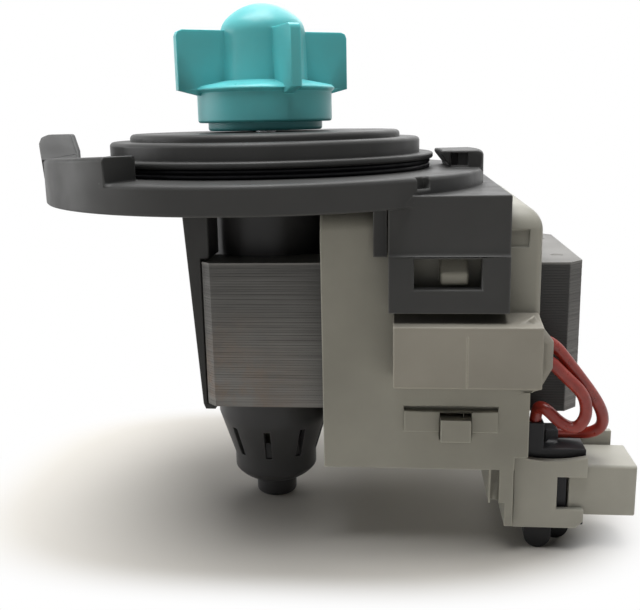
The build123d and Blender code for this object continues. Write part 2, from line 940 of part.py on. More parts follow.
def thermal_fuse():
    y = -(leg_inner_y - winding_clear - bobbin_wall - winding_build) + fuse_radius + slip_gap
    body = rod_x(fuse_radius, fuse_start, fuse_start + fuse_length, y, core_mid_z)
    return body


def coil_link():
    z = core_bottom_z - winding_clear - bobbin_wall - winding_build - link_radius - slip_gap
    upright = (Align.CENTER, Align.CENTER, Align.CENTER)
    bar = Cylinder(link_radius, 2 * core_half_width, align=upright)
    return Pos(link_x, 0, z) * Rot(90, 0, 0) * bar


def stem():
    low = housing_bottom_z - stem_length
    front = -housing_half_width
    back = front + stem_depth
    points = [
        (stem_left, housing_bottom_z),
        (stem_right, housing_bottom_z),
        (stem_right, low),
        (stem_cut_x, low),
        (stem_cut_x, low + stem_cut_height),
        (stem_left, low + stem_cut_height),
    ]
    body = prism_xz(points, front, back)
    body += box_between(stem_left, stem_right, front, front + housing_wall, housing_bottom_z,
                        housing_bottom_z + housing_wall)
    body -= box_between(stem_slot_left, stem_slot_right, front - cut_extra, front + stem_slot_depth,
                        housing_bottom_z - stem_slot_length, housing_bottom_z)
    return body - tongue_space(slip_gap)


def tongue_space(grow):
    high = holder_top_z - holder_wall * 3 + grow
    low = high - holder_tongue_height - 2 * grow
    y = -(holder_inner_front - holder_wall * 2)
    return box_between(holder_left - holder_tongue_reach - grow, holder_left + grow, y - grow,
                       y + holder_tongue_width + grow, low, high)


def housing_catch():
    front = -housing_half_width
    high = flange_bottom_z - catch_drop
    points = [
        (front + housing_wall / 2, high),
        (front - catch_top_reach, high),
        (front - catch_reach, high - catch_ramp),
        (front - catch_reach + catch_undercut, high - catch_height),
        (front + housing_wall / 2, high - catch_height),
    ]
    return prism_yz(points, catch_left, catch_right)


def front_snap():
    front = -housing_half_width
    high = flange_bottom_z - snap_drop
    plate = box_between(snap_left, snap_right, front - snap_plate_proud, front, high - snap_slot - snap_plate_height,
                        high - snap_slot)
    return plate


def snap_cuts():
    front = -housing_half_width
    high = flange_bottom_z - snap_drop
    lug_high = flange_bottom_z - lug_drop
    slot = box_between(snap_left, snap_right, front - cut_extra, front + housing_wall / 2, high - snap_slot, high)
    hole = box_between(lug_left - slip_gap, lug_right + slip_gap, front - cut_extra, front + housing_wall + cut_extra,
                       lug_high - lug_height - slip_gap, lug_high + lug_gap)
    return slot + hole


def terminal_slots():
    cuts = []
    for points in (lead_front_points, lead_rear_points):
        x_low, x_high, z = tab_place(points)
        grow = slip_gap
        cuts.append(box_between(x_low - grow, x_high + grow, -housing_half_width - cut_extra,
                                -housing_half_width + housing_wall + cut_extra,
                                z - tab_thickness / 2 - grow, z + tab_thickness / 2 + grow))
    return cuts[0] + cuts[1]


def tab_place(points):
    x_high = points[0][0] - barrel_length - (receptacle_length - tab_width) / 2
    return x_high - tab_width, x_high, points[0][2]


def coil_housing():
    half = housing_half_width
    wall = housing_wall
    shell = box_between(housing_left, housing_right, -half, half, housing_waist_z, housing_top_z)
    shell = fillet(upright_edges(shell, housing_right, half), housing_corner)
    shell = fillet(crown_edges(shell, housing_left), crown_radius)
    shell += box_between(housing_left, housing_lower_right, -half, half, housing_bottom_z, housing_waist_z)
    inner_half = half - wall
    inner_left = housing_left + wall
    room = box_between(inner_left, housing_inner_right, -inner_half, inner_half, housing_bottom_z - cut_extra,
                       housing_top_z - wall)
    shell -= fillet(crown_edges(room, inner_left), crown_radius - wall)
    window = core_half_width + loose_gap
    window_top = core_top_z + loose_gap
    shell -= box_between(housing_left - cut_extra, housing_right + cut_extra, -window, window,
                         housing_bottom_z - cut_extra, window_top)
    shell -= box_between(corner_notch_x, housing_right + cut_extra, -half - cut_extra, half + cut_extra,
                         housing_bottom_z - cut_extra, housing_bottom_z + corner_notch_height)
    shell += both_sides(housing_catch())
    shell += both_sides(front_snap())
    shell += stem()
    shell -= both_sides(snap_cuts())
    shell -= box_between(relief_left, relief_right, -half - cut_extra, -half + relief_depth,
                         housing_crown_z - relief_height, housing_crown_z)
    return shell - terminal_slots()


def housing_base():
    gap = slip_gap
    wall = housing_wall
    half = housing_half_width - wall - gap
    low = housing_bottom_z
    step_high = low + base_step
    end_top = core_bottom_z - loose_gap
    left = housing_left + wall + gap
    plate_right = corner_notch_x - gap
    window = core_half_width + loose_gap - gap
    base = box_between(left, plate_right, -half, half, low, low + wall)
    base += box_between(plate_right - wall, plate_right, -half, half, low, step_high)
    base += box_between(plate_right - wall, housing_inner_right - gap, -half, half, step_high - wall, step_high)
    base += box_between(plate_right - wall, housing_lower_right, -window, window, step_high - wall, step_high)
    base += box_between(housing_inner_right, housing_lower_right, -window, window, step_high - wall, end_top)
    base += box_between(housing_left, left + wall, -window, window, low, low + wall)
    base += box_between(housing_left, housing_left + wall, -window, window, low, end_top)
    return base + both_sides(base_tongue())


def base_tongue():
    front = -(housing_half_width - housing_wall - slip_gap)
    back = front + tongue_thickness
    lug_high = flange_bottom_z - lug_drop
    tongue = box_between(lug_left - tongue_side, lug_right + tongue_side, front, back, housing_bottom_z, lug_high)
    lug = box_between(lug_left, lug_right, -housing_half_width - lug_reach, back, lug_high - lug_height, lug_high)
    return tongue + lug


def terminal_cover():
    front = -(housing_half_width + panel_reach)
    back = -housing_half_width
    high = flange_bottom_z - panel_drop
    low = high - panel_height
    wall = panel_wall
    outer = prism_yz([(back, low), (front, low), (front, high), (back, high + panel_slope)], panel_left, panel_right)
    inner = prism_yz([(back + cut_extra, low + wall), (front + wall, low + wall), (front + wall, high - wall),
                      (back + cut_extra, high + panel_slope - wall)], panel_left + wall, panel_right - wall)
    cover = outer - inner
    cover -= box_between(panel_right - wall - cut_extra, panel_right + cut_extra, front + panel_cheek, back + cut_extra,
                         low + wall, high - wall / 2)
    wing_front = front + panel_cheek - wing_thickness
    points = [
        (panel_right - wall - wing_rise, high),
        (panel_right - wall, high + wing_top),
        (panel_right + wing_out, high - wing_shoulder + wing_top),
        (panel_right + wing_out, high - wing_shoulder + wing_top - wing_belly),
        (panel_right, high - wing_shoulder + wing_top - wing_belly - wing_end),
        (panel_right - wall, high - wing_shoulder + wing_top - wing_belly - wing_end),
        (panel_right - wall, high - wall / 2),
    ]
    wing = prism_xz(points, wing_front, wing_front + wing_thickness)
    rim = [e for e in wing.edges() if abs(e.center().Y - wing_front) < glue_gap and e.center().X > panel_right]
    return cover + chamfer(rim, wing_edge)


def lead_terminals():
    pieces = []
    for points in (lead_front_points, lead_rear_points):
        x, y, z = points[0]
        along = (Vector(*points[1]) - Vector(*points[0])).normalized()
        mouth = Plane(origin=(x, y, z), z_dir=(along.X, along.Y, along.Z))
        upright = (Align.CENTER, Align.CENTER, Align.MAX)
        barrel = mouth * Cylinder(barrel_radius, barrel_length, align=upright)
        right = x - barrel_length + barrel_radius / 2
        left = x - barrel_length - receptacle_length
        half = receptacle_height / 2
        back = -housing_half_width - slip_gap
        socket = box_between(left, right, y - half / 2, back, z - half, z + half)
        tab_left, tab_right, tab_z = tab_place(points)
        coil_y = -(core_half_width + winding_clear + bobbin_wall + winding_build + slip_gap)
        tab = box_between(tab_left, tab_right, back - cut_extra, coil_y, tab_z - tab_thickness / 2,
                          tab_z + tab_thickness / 2)
        pieces.append(barrel + socket + tab)
    return pieces[0] + pieces[1]


def connector_holder():
    front = -holder_front
    inner = -holder_inner_front
    dip = holder_dip
    width = holder_right - holder_left
    corner = holder_corner
    window_top = holder_top_z - holder_window_drop
    window_low = window_top - holder_window_height
    edge = [
        (holder_right, holder_top_z),
        (holder_right, window_top),
        (holder_window_left, window_top),
        (holder_window_left, window_low),
        (holder_right - holder_lower_inset, window_low),
        (holder_right - holder_lower_inset, holder_bottom_z + corner),
        (holder_right - holder_lower_inset - corner, holder_bottom_z),
        (holder_left, holder_bottom_z),
        (holder_left, holder_top_z),
    ]
    sheet = Plane(origin=(0, front, 0), x_dir=(1, 0, 0), z_dir=(0, -1, 0))
    with BuildSketch(sheet) as section:
        with BuildLine():
            Polyline(*edge)
            ThreePointArc((holder_left, holder_top_z), (holder_left + width / 2, holder_top_z - dip),
                          (holder_right, holder_top_z))
        make_face()
    holder = extrude(section.sketch, amount=holder_wall, dir=(0, 1, 0))
    rear_front = shell_back_y + loose_gap
    rear_back = rear_front + holder_wall
    holder += box_between(holder_left, holder_left + holder_wall, front, rear_back, holder_bottom_z, holder_top_z)
    rear_low = block_bottom_z + block_base + loose_gap
    rear_high = holder_top_z + holder_rear_rise
    holder += box_between(holder_left, holder_rear_right, rear_front, rear_back, rear_low, holder_top_z)
    holder += box_between(post_left(), holder_rear_right, rear_front, rear_back, rear_low, rear_high)
    return holder + tongue_space(0)


def post_left():
    return lead_front_points[-1][0] - post_width / 2


def foot(x, y_front):
    high = block_bottom_z + block_base / 2
    centre_z = floor_z + foot_radius
    shank = box_between(x - foot_radius, x + foot_radius, y_front, y_front + foot_depth, centre_z, high)
    upright = (Align.CENTER, Align.CENTER, Align.MIN)
    round_end = Pos(x, y_front + foot_depth, centre_z) * Rot(90, 0, 0) * Cylinder(foot_radius, foot_depth, align=upright)
    return shank + round_end


def terminal_block():
    front = -block_front
    back = shell_back_y
    block = box_between(block_left, block_column_right, front, back, block_bottom_z, holder_top_z)
    block += box_between(post_left(), block_right, front, back, shell_top_z + loose_gap, block_top_z)
    block += box_between(block_left, block_right, front, block_rear, block_bottom_z, block_bottom_z + block_base)
    x, y, z = lead_front_points[-1]
    post_front = y - post_depth / 2
    block += box_between(post_left(), post_left() + post_width, post_front, post_front + post_depth,
                         block_top_z - cut_extra, z + post_seat)
    block -= disc(lead_radius + slip_gap, z, z + post_seat + cut_extra, x, y)
    x, y, z = lead_rear_points[-1]
    block += box_between(x - riser_length, x, y - riser_width / 2, y + riser_width / 2, block_top_z - cut_extra,
                         block_top_z + riser_height)
    block += foot(foot_one_x, front + loose_gap)
    block += foot(foot_two_x, front + loose_gap + foot_two_set_back)
    block += foot(foot_three_x, block_rear - foot_depth - loose_gap)
    for pin in pin_boxes(slip_gap):
        block -= pin
    return block


def connector_shell():
    right = shell_left + shell_length
    high = shell_top_z
    low = high - shell_height
    front = -holder_inner_front
    back = shell_back_y
    shell = box_between(shell_left, right, front, back, low, high)
    shell = fillet(shell.edges().filter_by(Axis.X), shell_edge)
    wall = socket_wall
    shell -= box_between(right - mouth_depth, right + cut_extra, front + wall, back - wall, low + wall, high - wall)
    for pin in pin_boxes(slip_gap):
        shell -= pin
    return shell


def pin_boxes(grow):
    middle_z = shell_top_z - shell_height / 2
    middle_y = (shell_back_y - holder_inner_front) / 2
    right = shell_left + shell_length - mouth_depth + pin_reach
    boxes = []
    for side in (-1, 1):
        y = middle_y + side * pin_pitch / 2
        boxes.append(box_between(shell_left - loose_gap - pin_tail - grow, right, y - pin_width / 2 - grow,
                                 y + pin_width / 2 + grow, middle_z - pin_thickness / 2 - grow,
                                 middle_z + pin_thickness / 2 + grow))
    return boxes


def contact_pins():
    first, second = pin_boxes(0)
    return first + second


def lead(name, points):
    places = [Vector(*point) for point in points]
    radii = []
    for before, corner, after in zip(places, places[1:], places[2:]):
        run = min((corner - before).length, (after - corner).length)
        turn = (corner - before).get_angle(after - corner)
        radii.append(bend_share * run / math.tan(math.radians(turn / 2)))
    path = FilletPolyline(*places, radius=radii)
    start = Plane(origin=path @ 0, z_dir=path % 0)
    tube_solid = sweep(start * Circle(lead_radius), path=path)
    section = math.pi * lead_radius ** 2
    print(name, "bend radii", [round(radius, 2) for radius in radii])
    print(name, "length", round(path.length, 2), "volume share", round(tube_solid.volume / (section * path.length), 4))
    return tube_solid


os.makedirs("parts", exist_ok=True)
nodes = {
    "flange_body": flange_body(),
    "seal_ring": seal_ring(),
    "rotor_can": rotor_can(),
    "bearing_carrier": bearing_carrier(),
    "front_bearing": bearing(carrier_z),
    "front_bearing_ring": bearing_cushion(carrier_z),
    "rear_bearing": bearing(pocket_floor_z),
    "rear_bearing_ring": bearing_cushion(pocket_floor_z),
    "shaft_seal": shaft_seal(),
    "thrust_washers": thrust_washers(),
    "stator_core": stator_core(),
    "front_bobbin": front_bobbin(),
    "rear_bobbin": mirror(front_bobbin(), about=Plane.XZ),
    "front_winding": front_winding(),
    "rear_winding": mirror(front_winding(), about=Plane.XZ),
    "thermal_fuse": thermal_fuse(),
    "coil_link": coil_link(),
    "lead_terminals": lead_terminals(),
    "coil_housing": coil_housing(),
    "housing_base": housing_base(),
    "terminal_cover": terminal_cover(),
    "terminal_block": terminal_block(),
    "connector_holder": connector_holder(),
    "connector_shell": connector_shell(),
    "contact_pins": contact_pins(),
    "lead_front": lead("lead_front", lead_front_points),
    "lead_rear": lead("lead_rear", lead_rear_points),
    "impeller": impeller(),
    "coupling_cover": coupling_cover(),
    "shaft": shaft(),
    "drive_dog": drive_dog(),
    "coupling_damper": coupling_damper(),
    "shaft_clip": shaft_clip(),
    "rotor_magnet": rotor_magnet(),
    "rotor_hub": rotor_hub(),
}
for name, solid in nodes.items():
    export_step(solid, f"parts/{name}.step")
    print(name, len(solid.solids()), round(solid.volume, 1))
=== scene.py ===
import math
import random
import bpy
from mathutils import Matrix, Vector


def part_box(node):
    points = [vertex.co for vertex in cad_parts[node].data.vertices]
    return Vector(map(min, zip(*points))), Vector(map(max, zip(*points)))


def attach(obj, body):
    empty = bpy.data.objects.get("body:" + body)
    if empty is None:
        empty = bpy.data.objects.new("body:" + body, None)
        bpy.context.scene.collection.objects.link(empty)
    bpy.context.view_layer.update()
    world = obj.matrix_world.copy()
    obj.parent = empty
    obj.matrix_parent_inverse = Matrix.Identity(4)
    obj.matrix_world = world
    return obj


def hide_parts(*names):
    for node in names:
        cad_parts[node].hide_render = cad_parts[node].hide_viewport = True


bl_info = {
    "name": "Washer Drain Pump",
    "version": (1, 0, 0),
    "blender": (4, 5, 0),
    "location": "3D View > Sidebar > Drain Pump",
    "description": "Dresses the drain pump's frame with moulded, laminated and wired pieces",
    "category": "Object",
}

import bmesh
import bpy
from bpy.props import FloatProperty, FloatVectorProperty, IntProperty, PointerProperty
from mathutils import Matrix, Vector

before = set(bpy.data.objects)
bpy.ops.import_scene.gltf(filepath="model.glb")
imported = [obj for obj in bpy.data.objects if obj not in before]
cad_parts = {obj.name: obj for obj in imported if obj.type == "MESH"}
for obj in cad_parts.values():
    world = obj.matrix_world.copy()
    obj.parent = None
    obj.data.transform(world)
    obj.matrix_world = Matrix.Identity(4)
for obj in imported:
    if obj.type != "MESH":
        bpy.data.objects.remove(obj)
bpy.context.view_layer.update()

MM = 0.001
LOW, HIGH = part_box("stator_core")
FLOOR_Z = min(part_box(node)[0].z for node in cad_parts)
WHITE = (1.0, 1.0, 1.0, 1.0)

# Cleaning of a node's skin: points this near are welded, and faces within this angle are made one
WELD_REACH = 0.000002
MERGE_ANGLE = math.radians(0.1)

# Rounding of edges: where a corner starts, which neighbours take room from it, and what share they leave
CORNER_ANGLE = math.radians(30.0)
FLAT_ANGLE = math.radians(0.3)
STRAIGHT_ANGLE = math.radians(150.0)
ROOM_SHARE = 0.45
FOOT_REACH = 0.0003

# Most that a rounding may widen from one edge to the next, and how far along the edges this is carried
WEIGHT_STEP = 1.3
WEIGHT_PASSES = 4

# Range in which nearly all of a noise texture's values lie
NOISE_LOW = 0.3
NOISE_HIGH = 0.7

SHEET_SEED = 7
BORE_STEPS = 18
DIMPLE_STEPS = 20
DIMPLE_FLOOR_SHARE = 0.86


def number_prop(name, description, default):
    return FloatProperty(name=name, description=description, default=default)


def length_prop(name, description, default):
    return FloatProperty(name=name, description=description, default=default, unit="LENGTH", precision=5)


def place_prop(name, description, default):
    return FloatVectorProperty(name=name, description=description, default=default, size=3, unit="LENGTH",
                               precision=5)


def power_prop(name, description, default):
    return FloatProperty(name=name, description=description, default=default, unit="POWER")


def colour_prop(name, description, default):
    return FloatVectorProperty(name=name, description=description, default=default, size=3, subtype="COLOR",
                               min=0.0, max=1.0)


class DrainPumpView(bpy.types.PropertyGroup):
    place: place_prop("Camera place", "Where the camera stands", (0.02826, -0.17577, 0.007179))
    heading: FloatProperty(name="Heading", description="Turn of the view about the upright, from straight back",
                           default=-0.101, subtype="ANGLE")
    dip: FloatProperty(name="Dip", description="How far the view looks down", default=0.218, subtype="ANGLE")
    roll: FloatProperty(name="Roll", description="Turn of the picture about the view line", default=-0.020,
                        subtype="ANGLE")
    lens: FloatProperty(name="Lens", description="Focal length on a 36 mm wide sensor", default=47.745,
                        min=10.0, max=200.0)
    sensor: number_prop("Sensor", "Width of the sensor in millimetres", 36.0)
    nearest: length_prop("Nearest", "Nearest distance that the camera sees", 0.01)
    farthest: length_prop("Farthest", "Farthest distance that the camera sees", 50.0)


class DrainPumpStage(bpy.types.PropertyGroup):
    floor_colour: colour_prop("Floor", "Colour of the floor", (0.66, 0.635, 0.59))
    patch_x: length_prop("Patch across", "Middle of the floor patch that shows the shadow, across", 0.005)
    patch_y: length_prop("Patch back", "Middle of the floor patch, front to back", 0.004)
    patch_width: length_prop("Patch width", "Half the width of the floor patch that shows the shadow", 0.072)
    patch_depth: length_prop("Patch depth", "Half the depth of the floor patch that shows the shadow", 0.049)
    clear_start: number_prop("Clear from", "Share of the patch at which the floor starts to clear", 0.80)
    clear_end: number_prop("Clear by", "Share of the patch at which the floor is plain white", 1.06)
    sky_back: number_prop("Sky behind", "Strength of the light from the sky behind the pump", 0.20)
    sky_front: number_prop("Sky in front", "Strength of the light from the viewer's side", 0.015)
    sky_blend: number_prop("Sky blend", "How far to each side of the pump the sky changes its strength", 0.6)


class DrainPumpLamps(bpy.types.PropertyGroup):
    aim: place_prop("Aim", "Where all the lamps point", (0.018, 0.0, -0.03))
    top_power: power_prop("Top lamp", "Power of the soft box above the pump", 9.4)
    top_size: length_prop("Top size", "Width of the soft box above the pump", 0.6)
    top_place: place_prop("Top place", "Where the soft box above the pump hangs", (-0.06, -0.05, 0.73))
    back_power: power_prop("Back lamp", "Power of the wide lamp behind the pump", 3.5)
    back_size: length_prop("Back size", "Width of the lamp behind the pump", 0.9)
    back_place: place_prop("Back place", "Where the lamp behind the pump hangs", (0.20, 0.62, 0.62))
    side_power: power_prop("Side lamp", "Power of the lamp on the left", 2.2)
    side_size: length_prop("Side size", "Width of the lamp on the left", 0.5)
    side_place: place_prop("Side place", "Where the lamp on the left stands", (-0.72, 0.02, -0.02))
    low_power: power_prop("Low lamp", "Power of the low lamp at the front", 0.02)
    low_size: length_prop("Low size", "Width of the low lamp at the front", 0.3)
    low_place: place_prop("Low place", "Where the low lamp at the front stands", (-0.20, -0.50, -0.05))


class DrainPumpColours(bpy.types.PropertyGroup):
    teal: colour_prop("Impeller", "Colour of the impeller plastic", (0.125, 0.545, 0.57))
    dark: colour_prop("Flange", "Colour of the flange plastic", (0.040, 0.040, 0.039))
    can: colour_prop("Rotor can", "Colour of the rotor can plastic", (0.06, 0.06, 0.062))
    rubber: colour_prop("Rubber", "Colour of the seal rubber", (0.004, 0.004, 0.005))
    grey: colour_prop("Housing", "Colour of the coil housing plastic", (0.33, 0.322, 0.278))
    cover: colour_prop("Cover", "Colour of the terminal cover plastic", (0.285, 0.268, 0.228))
    shell: colour_prop("Connector", "Colour of the connector plastic", (0.41, 0.40, 0.35))
    black: colour_prop("Terminal block", "Colour of the terminal block plastic", (0.02, 0.02, 0.022))
    steel: colour_prop("Laminations", "Colour of the stator steel", (0.15, 0.145, 0.136))
    rust: colour_prop("Rust", "Colour of the rust on the stator", (0.20, 0.13, 0.085))
    copper: colour_prop("Windings", "Colour of the enamelled wire", (0.50, 0.17, 0.07))
    brass: colour_prop("Terminals", "Colour of the plated terminals", (0.66, 0.52, 0.26))
    bronze: colour_prop("Bearings", "Colour of the sintered bushes", (0.42, 0.27, 0.13))
    lead: colour_prop("Leads", "Colour of the lead sleeves", (0.24, 0.018, 0.010))
    rubbed: colour_prop("Rubbed leads", "Colour of the rubbed patches on the lead sleeves", (0.32, 0.035, 0.02))
    shaft: colour_prop("Shaft", "Colour of the ground shaft", (0.58, 0.58, 0.60))
    ferrite: colour_prop("Magnet", "Colour of the ferrite magnet", (0.06, 0.058, 0.06))
    pale: colour_prop("Dog and hub", "Colour of the natural plastic inside", (0.72, 0.69, 0.60))


class DrainPumpEdges(bpy.types.PropertyGroup):
    flange: length_prop("Flange edge", "Rounding of the flange's edges", 0.00040)
    impeller: length_prop("Impeller edge", "Rounding of the impeller's edges", 0.00055)
    can: length_prop("Can edge", "Rounding of the rotor can's edges", 0.00025)
    housing: length_prop("Housing edge", "Rounding of the housing's edges", 0.00060)
    base: length_prop("Base edge", "Rounding of the housing base's edges", 0.00036)
    connector: length_prop("Connector edge", "Rounding of the connector's edges", 0.00030)
    block: length_prop("Block edge", "Rounding of the terminal block's edges", 0.00021)
    fine: length_prop("Fine edge", "Rounding of small pressed and cut edges", 0.00010)
    vane_foot: length_prop("Vane foot", "Height at which the vanes leave the drum, where edges stay sharp", 0.0117)


class DrainPumpCore(bpy.types.PropertyGroup):
    count: IntProperty(name="Laminations", description="Number of steel sheets in the stack", default=57, min=2)
    seam: length_prop("Seam", "Gap that shows between two sheets", 0.00003)
    stagger: length_prop("Stagger", "How far single sheets sit back from the stack", 0.00002)
    toe: length_prop("Toe corner", "Cut on the corners at the pole end", 0.00185)
    yoke: length_prop("Yoke corner", "Cut on the corners at the yoke end", 0.0026)
    leg_inner: length_prop("Leg inner face", "Distance from the middle to a leg's inner face", 0.0088)
    bore: length_prop("Pole bore", "Radius of the bore round the rotor can", 0.0123)
    gap_end: length_prop("Yoke inner face", "Where the slot between the legs ends", 0.051)
    dimple: length_prop("Dimple radius", "Radius of the two locking dimples", 0.0013)
    dimple_depth: length_prop("Dimple depth", "Depth of the locking dimples", 0.0002)
    dimple_inset: length_prop("Dimple inset", "Distance of the dimples from the yoke's end", 0.0036)
    dimple_spread: length_prop("Dimple spread", "Distance of the dimples from the middle", 0.0112)


class DrainPumpSteel(bpy.types.PropertyGroup):
    # Painted shade on the stack's sides: where it starts and is full below the top face, its tone at the top and at
    # the foot, where it turns to painted light, and how near another piece darkens it.
    clean: length_prop("Clean top", "Depth below the top at which the oil film starts", 0.0002)
    full_shade_depth: length_prop("Film", "Depth below the top at which the oil film is full", 0.0006)
    darkest: length_prop("Darkest film", "Depth below the top at which the film starts to thin", 0.002)
    top_tone: number_prop("Tone at the top", "Share of the steel's colour under the film at the top", 0.55)
    foot_tone: number_prop("Tone at the foot", "Share of the steel's colour under the film at the foot", 1.35)
    hollow: length_prop("Hollow reach", "How near another piece darkens the steel", 0.012)
    # Painted shade over the yoke's front, and the width of its end corner that is left lighter as painted light.
    yoke_start: length_prop("Oil from", "Place along the pump at which the oil-dark yoke starts", 0.030)
    yoke_full: length_prop("Oil by", "Place along the pump at which the yoke is fully dark", 0.045)
    unshaded_corner: length_prop("Bare corner", "Width of the bare corner at the yoke's end", 0.0028)
    unshaded_corner_full: length_prop("Fully bare corner", "Width of the corner where no oil is left", 0.0024)
    rust_height: length_prop("Rust height", "Height above the stack's foot that rust reaches", 0.020)
    rust_width: length_prop("Rust width", "Distance from the stack's left side that rust reaches", 0.022)


class DrainPumpLines(bpy.types.PropertyGroup):
    along: length_prop("Line place", "Distance of the mould lines from the cover's left side", 0.0126)
    width: length_prop("Line width", "Width of a mould line", 0.00012)
    stand: length_prop("Line height", "How far the cover's mould line stands out", 0.00003)
    root: length_prop("Line root", "How deep the cover's mould line is rooted", 0.0004)
    cover_foot: length_prop("Cover line foot", "Distance of the line from the cover's lower side", 0.001)
    cover_head: length_prop("Cover line head", "Distance of the line from the cover's upper side", 0.0032)
    plate_root: length_prop("Plate root", "Distance of the snap plate's root from the housing's front", 0.0042)
    plate_stand: length_prop("Plate line", "How far the snap plate's line reaches forward", 0.00053)
    plate_foot: length_prop("Plate line foot", "Height at which the snap plate's line starts", -0.049)
    plate_head: length_prop("Plate line head", "Height at which the snap plate's line ends", -0.0459)


class DrainPumpLeads(bpy.types.PropertyGroup):
    diameter: length_prop("Lead diameter", "Diameter of a lead over its sleeve", 0.0022)
    front_length: length_prop("Front lead", "Length of the front lead", 0.0358)
    rear_length: length_prop("Rear lead", "Length of the rear lead", 0.0375)


def settings(group):
    return getattr(bpy.context.scene, "drain_pump_" + group)


# Node trees

class NodeTree:
    """Adds and links the nodes of one tree."""

    def __init__(self, tree):
        self.tree = tree
        tree.nodes.clear()

    def add(self, kind, inputs=None, **options):
        """Adds a node, and links each input that is given as a socket."""
        node = self.tree.nodes.new(kind)
        for key, value in options.items():
            setattr(node, key, value)
        for key, value in (inputs or {}).items():
            if isinstance(value, bpy.types.NodeSocket):
                self.tree.links.new(value, node.inputs[key])
            else:
                node.inputs[key].default_value = value
        return node

    def maths(self, operation, *values, **options):
        return self.add("ShaderNodeMath", dict(enumerate(values)), operation=operation, **options).outputs[0]

    def vector_maths(self, operation, *values):
        return self.add("ShaderNodeVectorMath", dict(enumerate(values)), operation=operation).outputs

    def spread(self, source, low, high, out_low=0.0, out_high=1.0, **options):
        """Maps the source's range from low to high onto another range."""
        return self.add("ShaderNodeMapRange", {"Value": source, "From Min": low, "From Max": high,
                                               "To Min": out_low, "To Max": out_high}, **options).outputs["Result"]

    def straight_rays(self):
        """1 for camera, glossy and transmission rays, 0 for the light that falls on matte surfaces."""
        path = self.add("ShaderNodeLightPath").outputs
        first = self.maths("MAXIMUM", path["Is Camera Ray"], path["Is Glossy Ray"])
        return self.maths("MAXIMUM", first, path["Is Transmission Ray"])


class Finish(NodeTree):
    """A material's node tree around one shader."""

    def __init__(self, name):
        self.material = bpy.data.materials.new(name)
        self.material.use_nodes = True
        super().__init__(self.material.node_tree)
        self.shader = self.add("ShaderNodeBsdfPrincipled")
        self.out = self.add("ShaderNodeOutputMaterial", {"Surface": self.shader.outputs["BSDF"]})
        self.place = self.add("ShaderNodeTexCoord").outputs["Object"]

    def link(self, source, socket):
        self.tree.links.new(source, self.shader.inputs[socket])

    def put(self, socket, value):
        self.shader.inputs[socket].default_value = value

    def speckle(self, scale, detail=3.0, stretch=None, rough=0.5):
        place = self.place
        if stretch:
            place = self.add("ShaderNodeMapping", {"Vector": place, "Scale": stretch}).outputs["Vector"]
        return self.add("ShaderNodeTexNoise", {"Vector": place, "Scale": scale, "Detail": detail,
                                               "Roughness": rough}).outputs["Fac"]

    def patchy(self, scale, low=0.0, high=1.0, **options):
        """Soft patches that run from low to high."""
        return self.spread(self.speckle(scale, **options), NOISE_LOW, NOISE_HIGH, low, high)

    def tint(self, factor, first, second, blend="MIX"):
        mix = self.add("ShaderNodeMix", data_type="RGBA", blend_type=blend)
        for index, value in ((0, factor), (6, first), (7, second)):
            if isinstance(value, bpy.types.NodeSocket):
                self.tree.links.new(value, mix.inputs[index])
            elif index:
                mix.inputs[index].default_value = (*value, 1.0)
            else:
                mix.inputs[index].default_value = value
        return mix.outputs[2]

    def worn_and_lit_edges(self):
        """1 along corners within the radius, 0 on open faces."""
        radius = 0.0004
        rounded = self.add("ShaderNodeBevel", {"Radius": radius}, samples=4).outputs["Normal"]
        facing = self.add("ShaderNodeNewGeometry").outputs["Normal"]
        match = self.vector_maths("DOT_PRODUCT", rounded, facing)["Value"]
        return self.spread(match, 0.995, 0.86)

    def hollows(self, reach, darkest):
        """Painted shade: darkest deep in corners, 1 on open faces."""
        openness = self.add("ShaderNodeAmbientOcclusion", {"Distance": reach}, samples=6).outputs["AO"]
        return self.spread(openness, 0.25, 0.85, darkest, 1.0)

    def bump(self, height, distance):
        return self.add("ShaderNodeBump", {"Height": height, "Distance": distance}).outputs["Normal"]


def shade(colour, factor):
    return tuple(min(1.0, channel * factor) for channel in colour)


def moulded_plastic(name, colour, roughness=0.45, grain=0.000012, corner_shade=0.72, wear_and_highlight=1.35, gloss=0.3, flow=0.10,
                    reach=0.004):
    """Injection-moulded plastic: faint flow marks, fine spark-eroded grain, painted shade in corners, and edges
    lightened for wear and as a painted highlight.

    Arguments give the tone of the painted shade in corners within the reach, the tone of the lightened edges, and the
    strength of the flow marks.
    """
    finish = Finish(name)
    tone = finish.tint(finish.patchy(55.0, detail=4.0), shade(colour, 1.0 - flow), shade(colour, 1.0 + flow))
    # Edges lightened for wear and as a painted highlight along every rounded corner.
    edge = finish.tint(finish.worn_and_lit_edges(), tone, shade(colour, wear_and_highlight))
    # Painted shade: the colour darkens in corners where another face lies within the reach.
    painted_corner_shade = finish.hollows(reach, corner_shade)
    finish.link(finish.tint(1.0, edge, painted_corner_shade, "MULTIPLY"), "Base Color")
    finish.link(finish.patchy(160.0, roughness - 0.07, roughness + 0.08, detail=5.0), "Roughness")
    finish.put("Specular IOR Level", gloss)
    finish.link(finish.bump(finish.speckle(5200.0, detail=2.0), grain), "Normal")
    return finish


def scratched_plastic(name, colour):
    """Dark plastic of the flange, with light handling scratches."""
    finish = moulded_plastic(name, colour, corner_shade=0.65, wear_and_highlight=3.4, gloss=0.22)
    for stretch in ((60.0, 900.0, 900.0), (700.0, 70.0, 900.0)):
        hair = finish.spread(finish.speckle(1.0, detail=1.0, stretch=stretch, rough=0.4), 0.81, 0.85)
        base = finish.shader.inputs["Base Color"].links[0].from_socket
        finish.link(finish.tint(hair, base, shade(colour, 2.0)), "Base Color")
    return finish


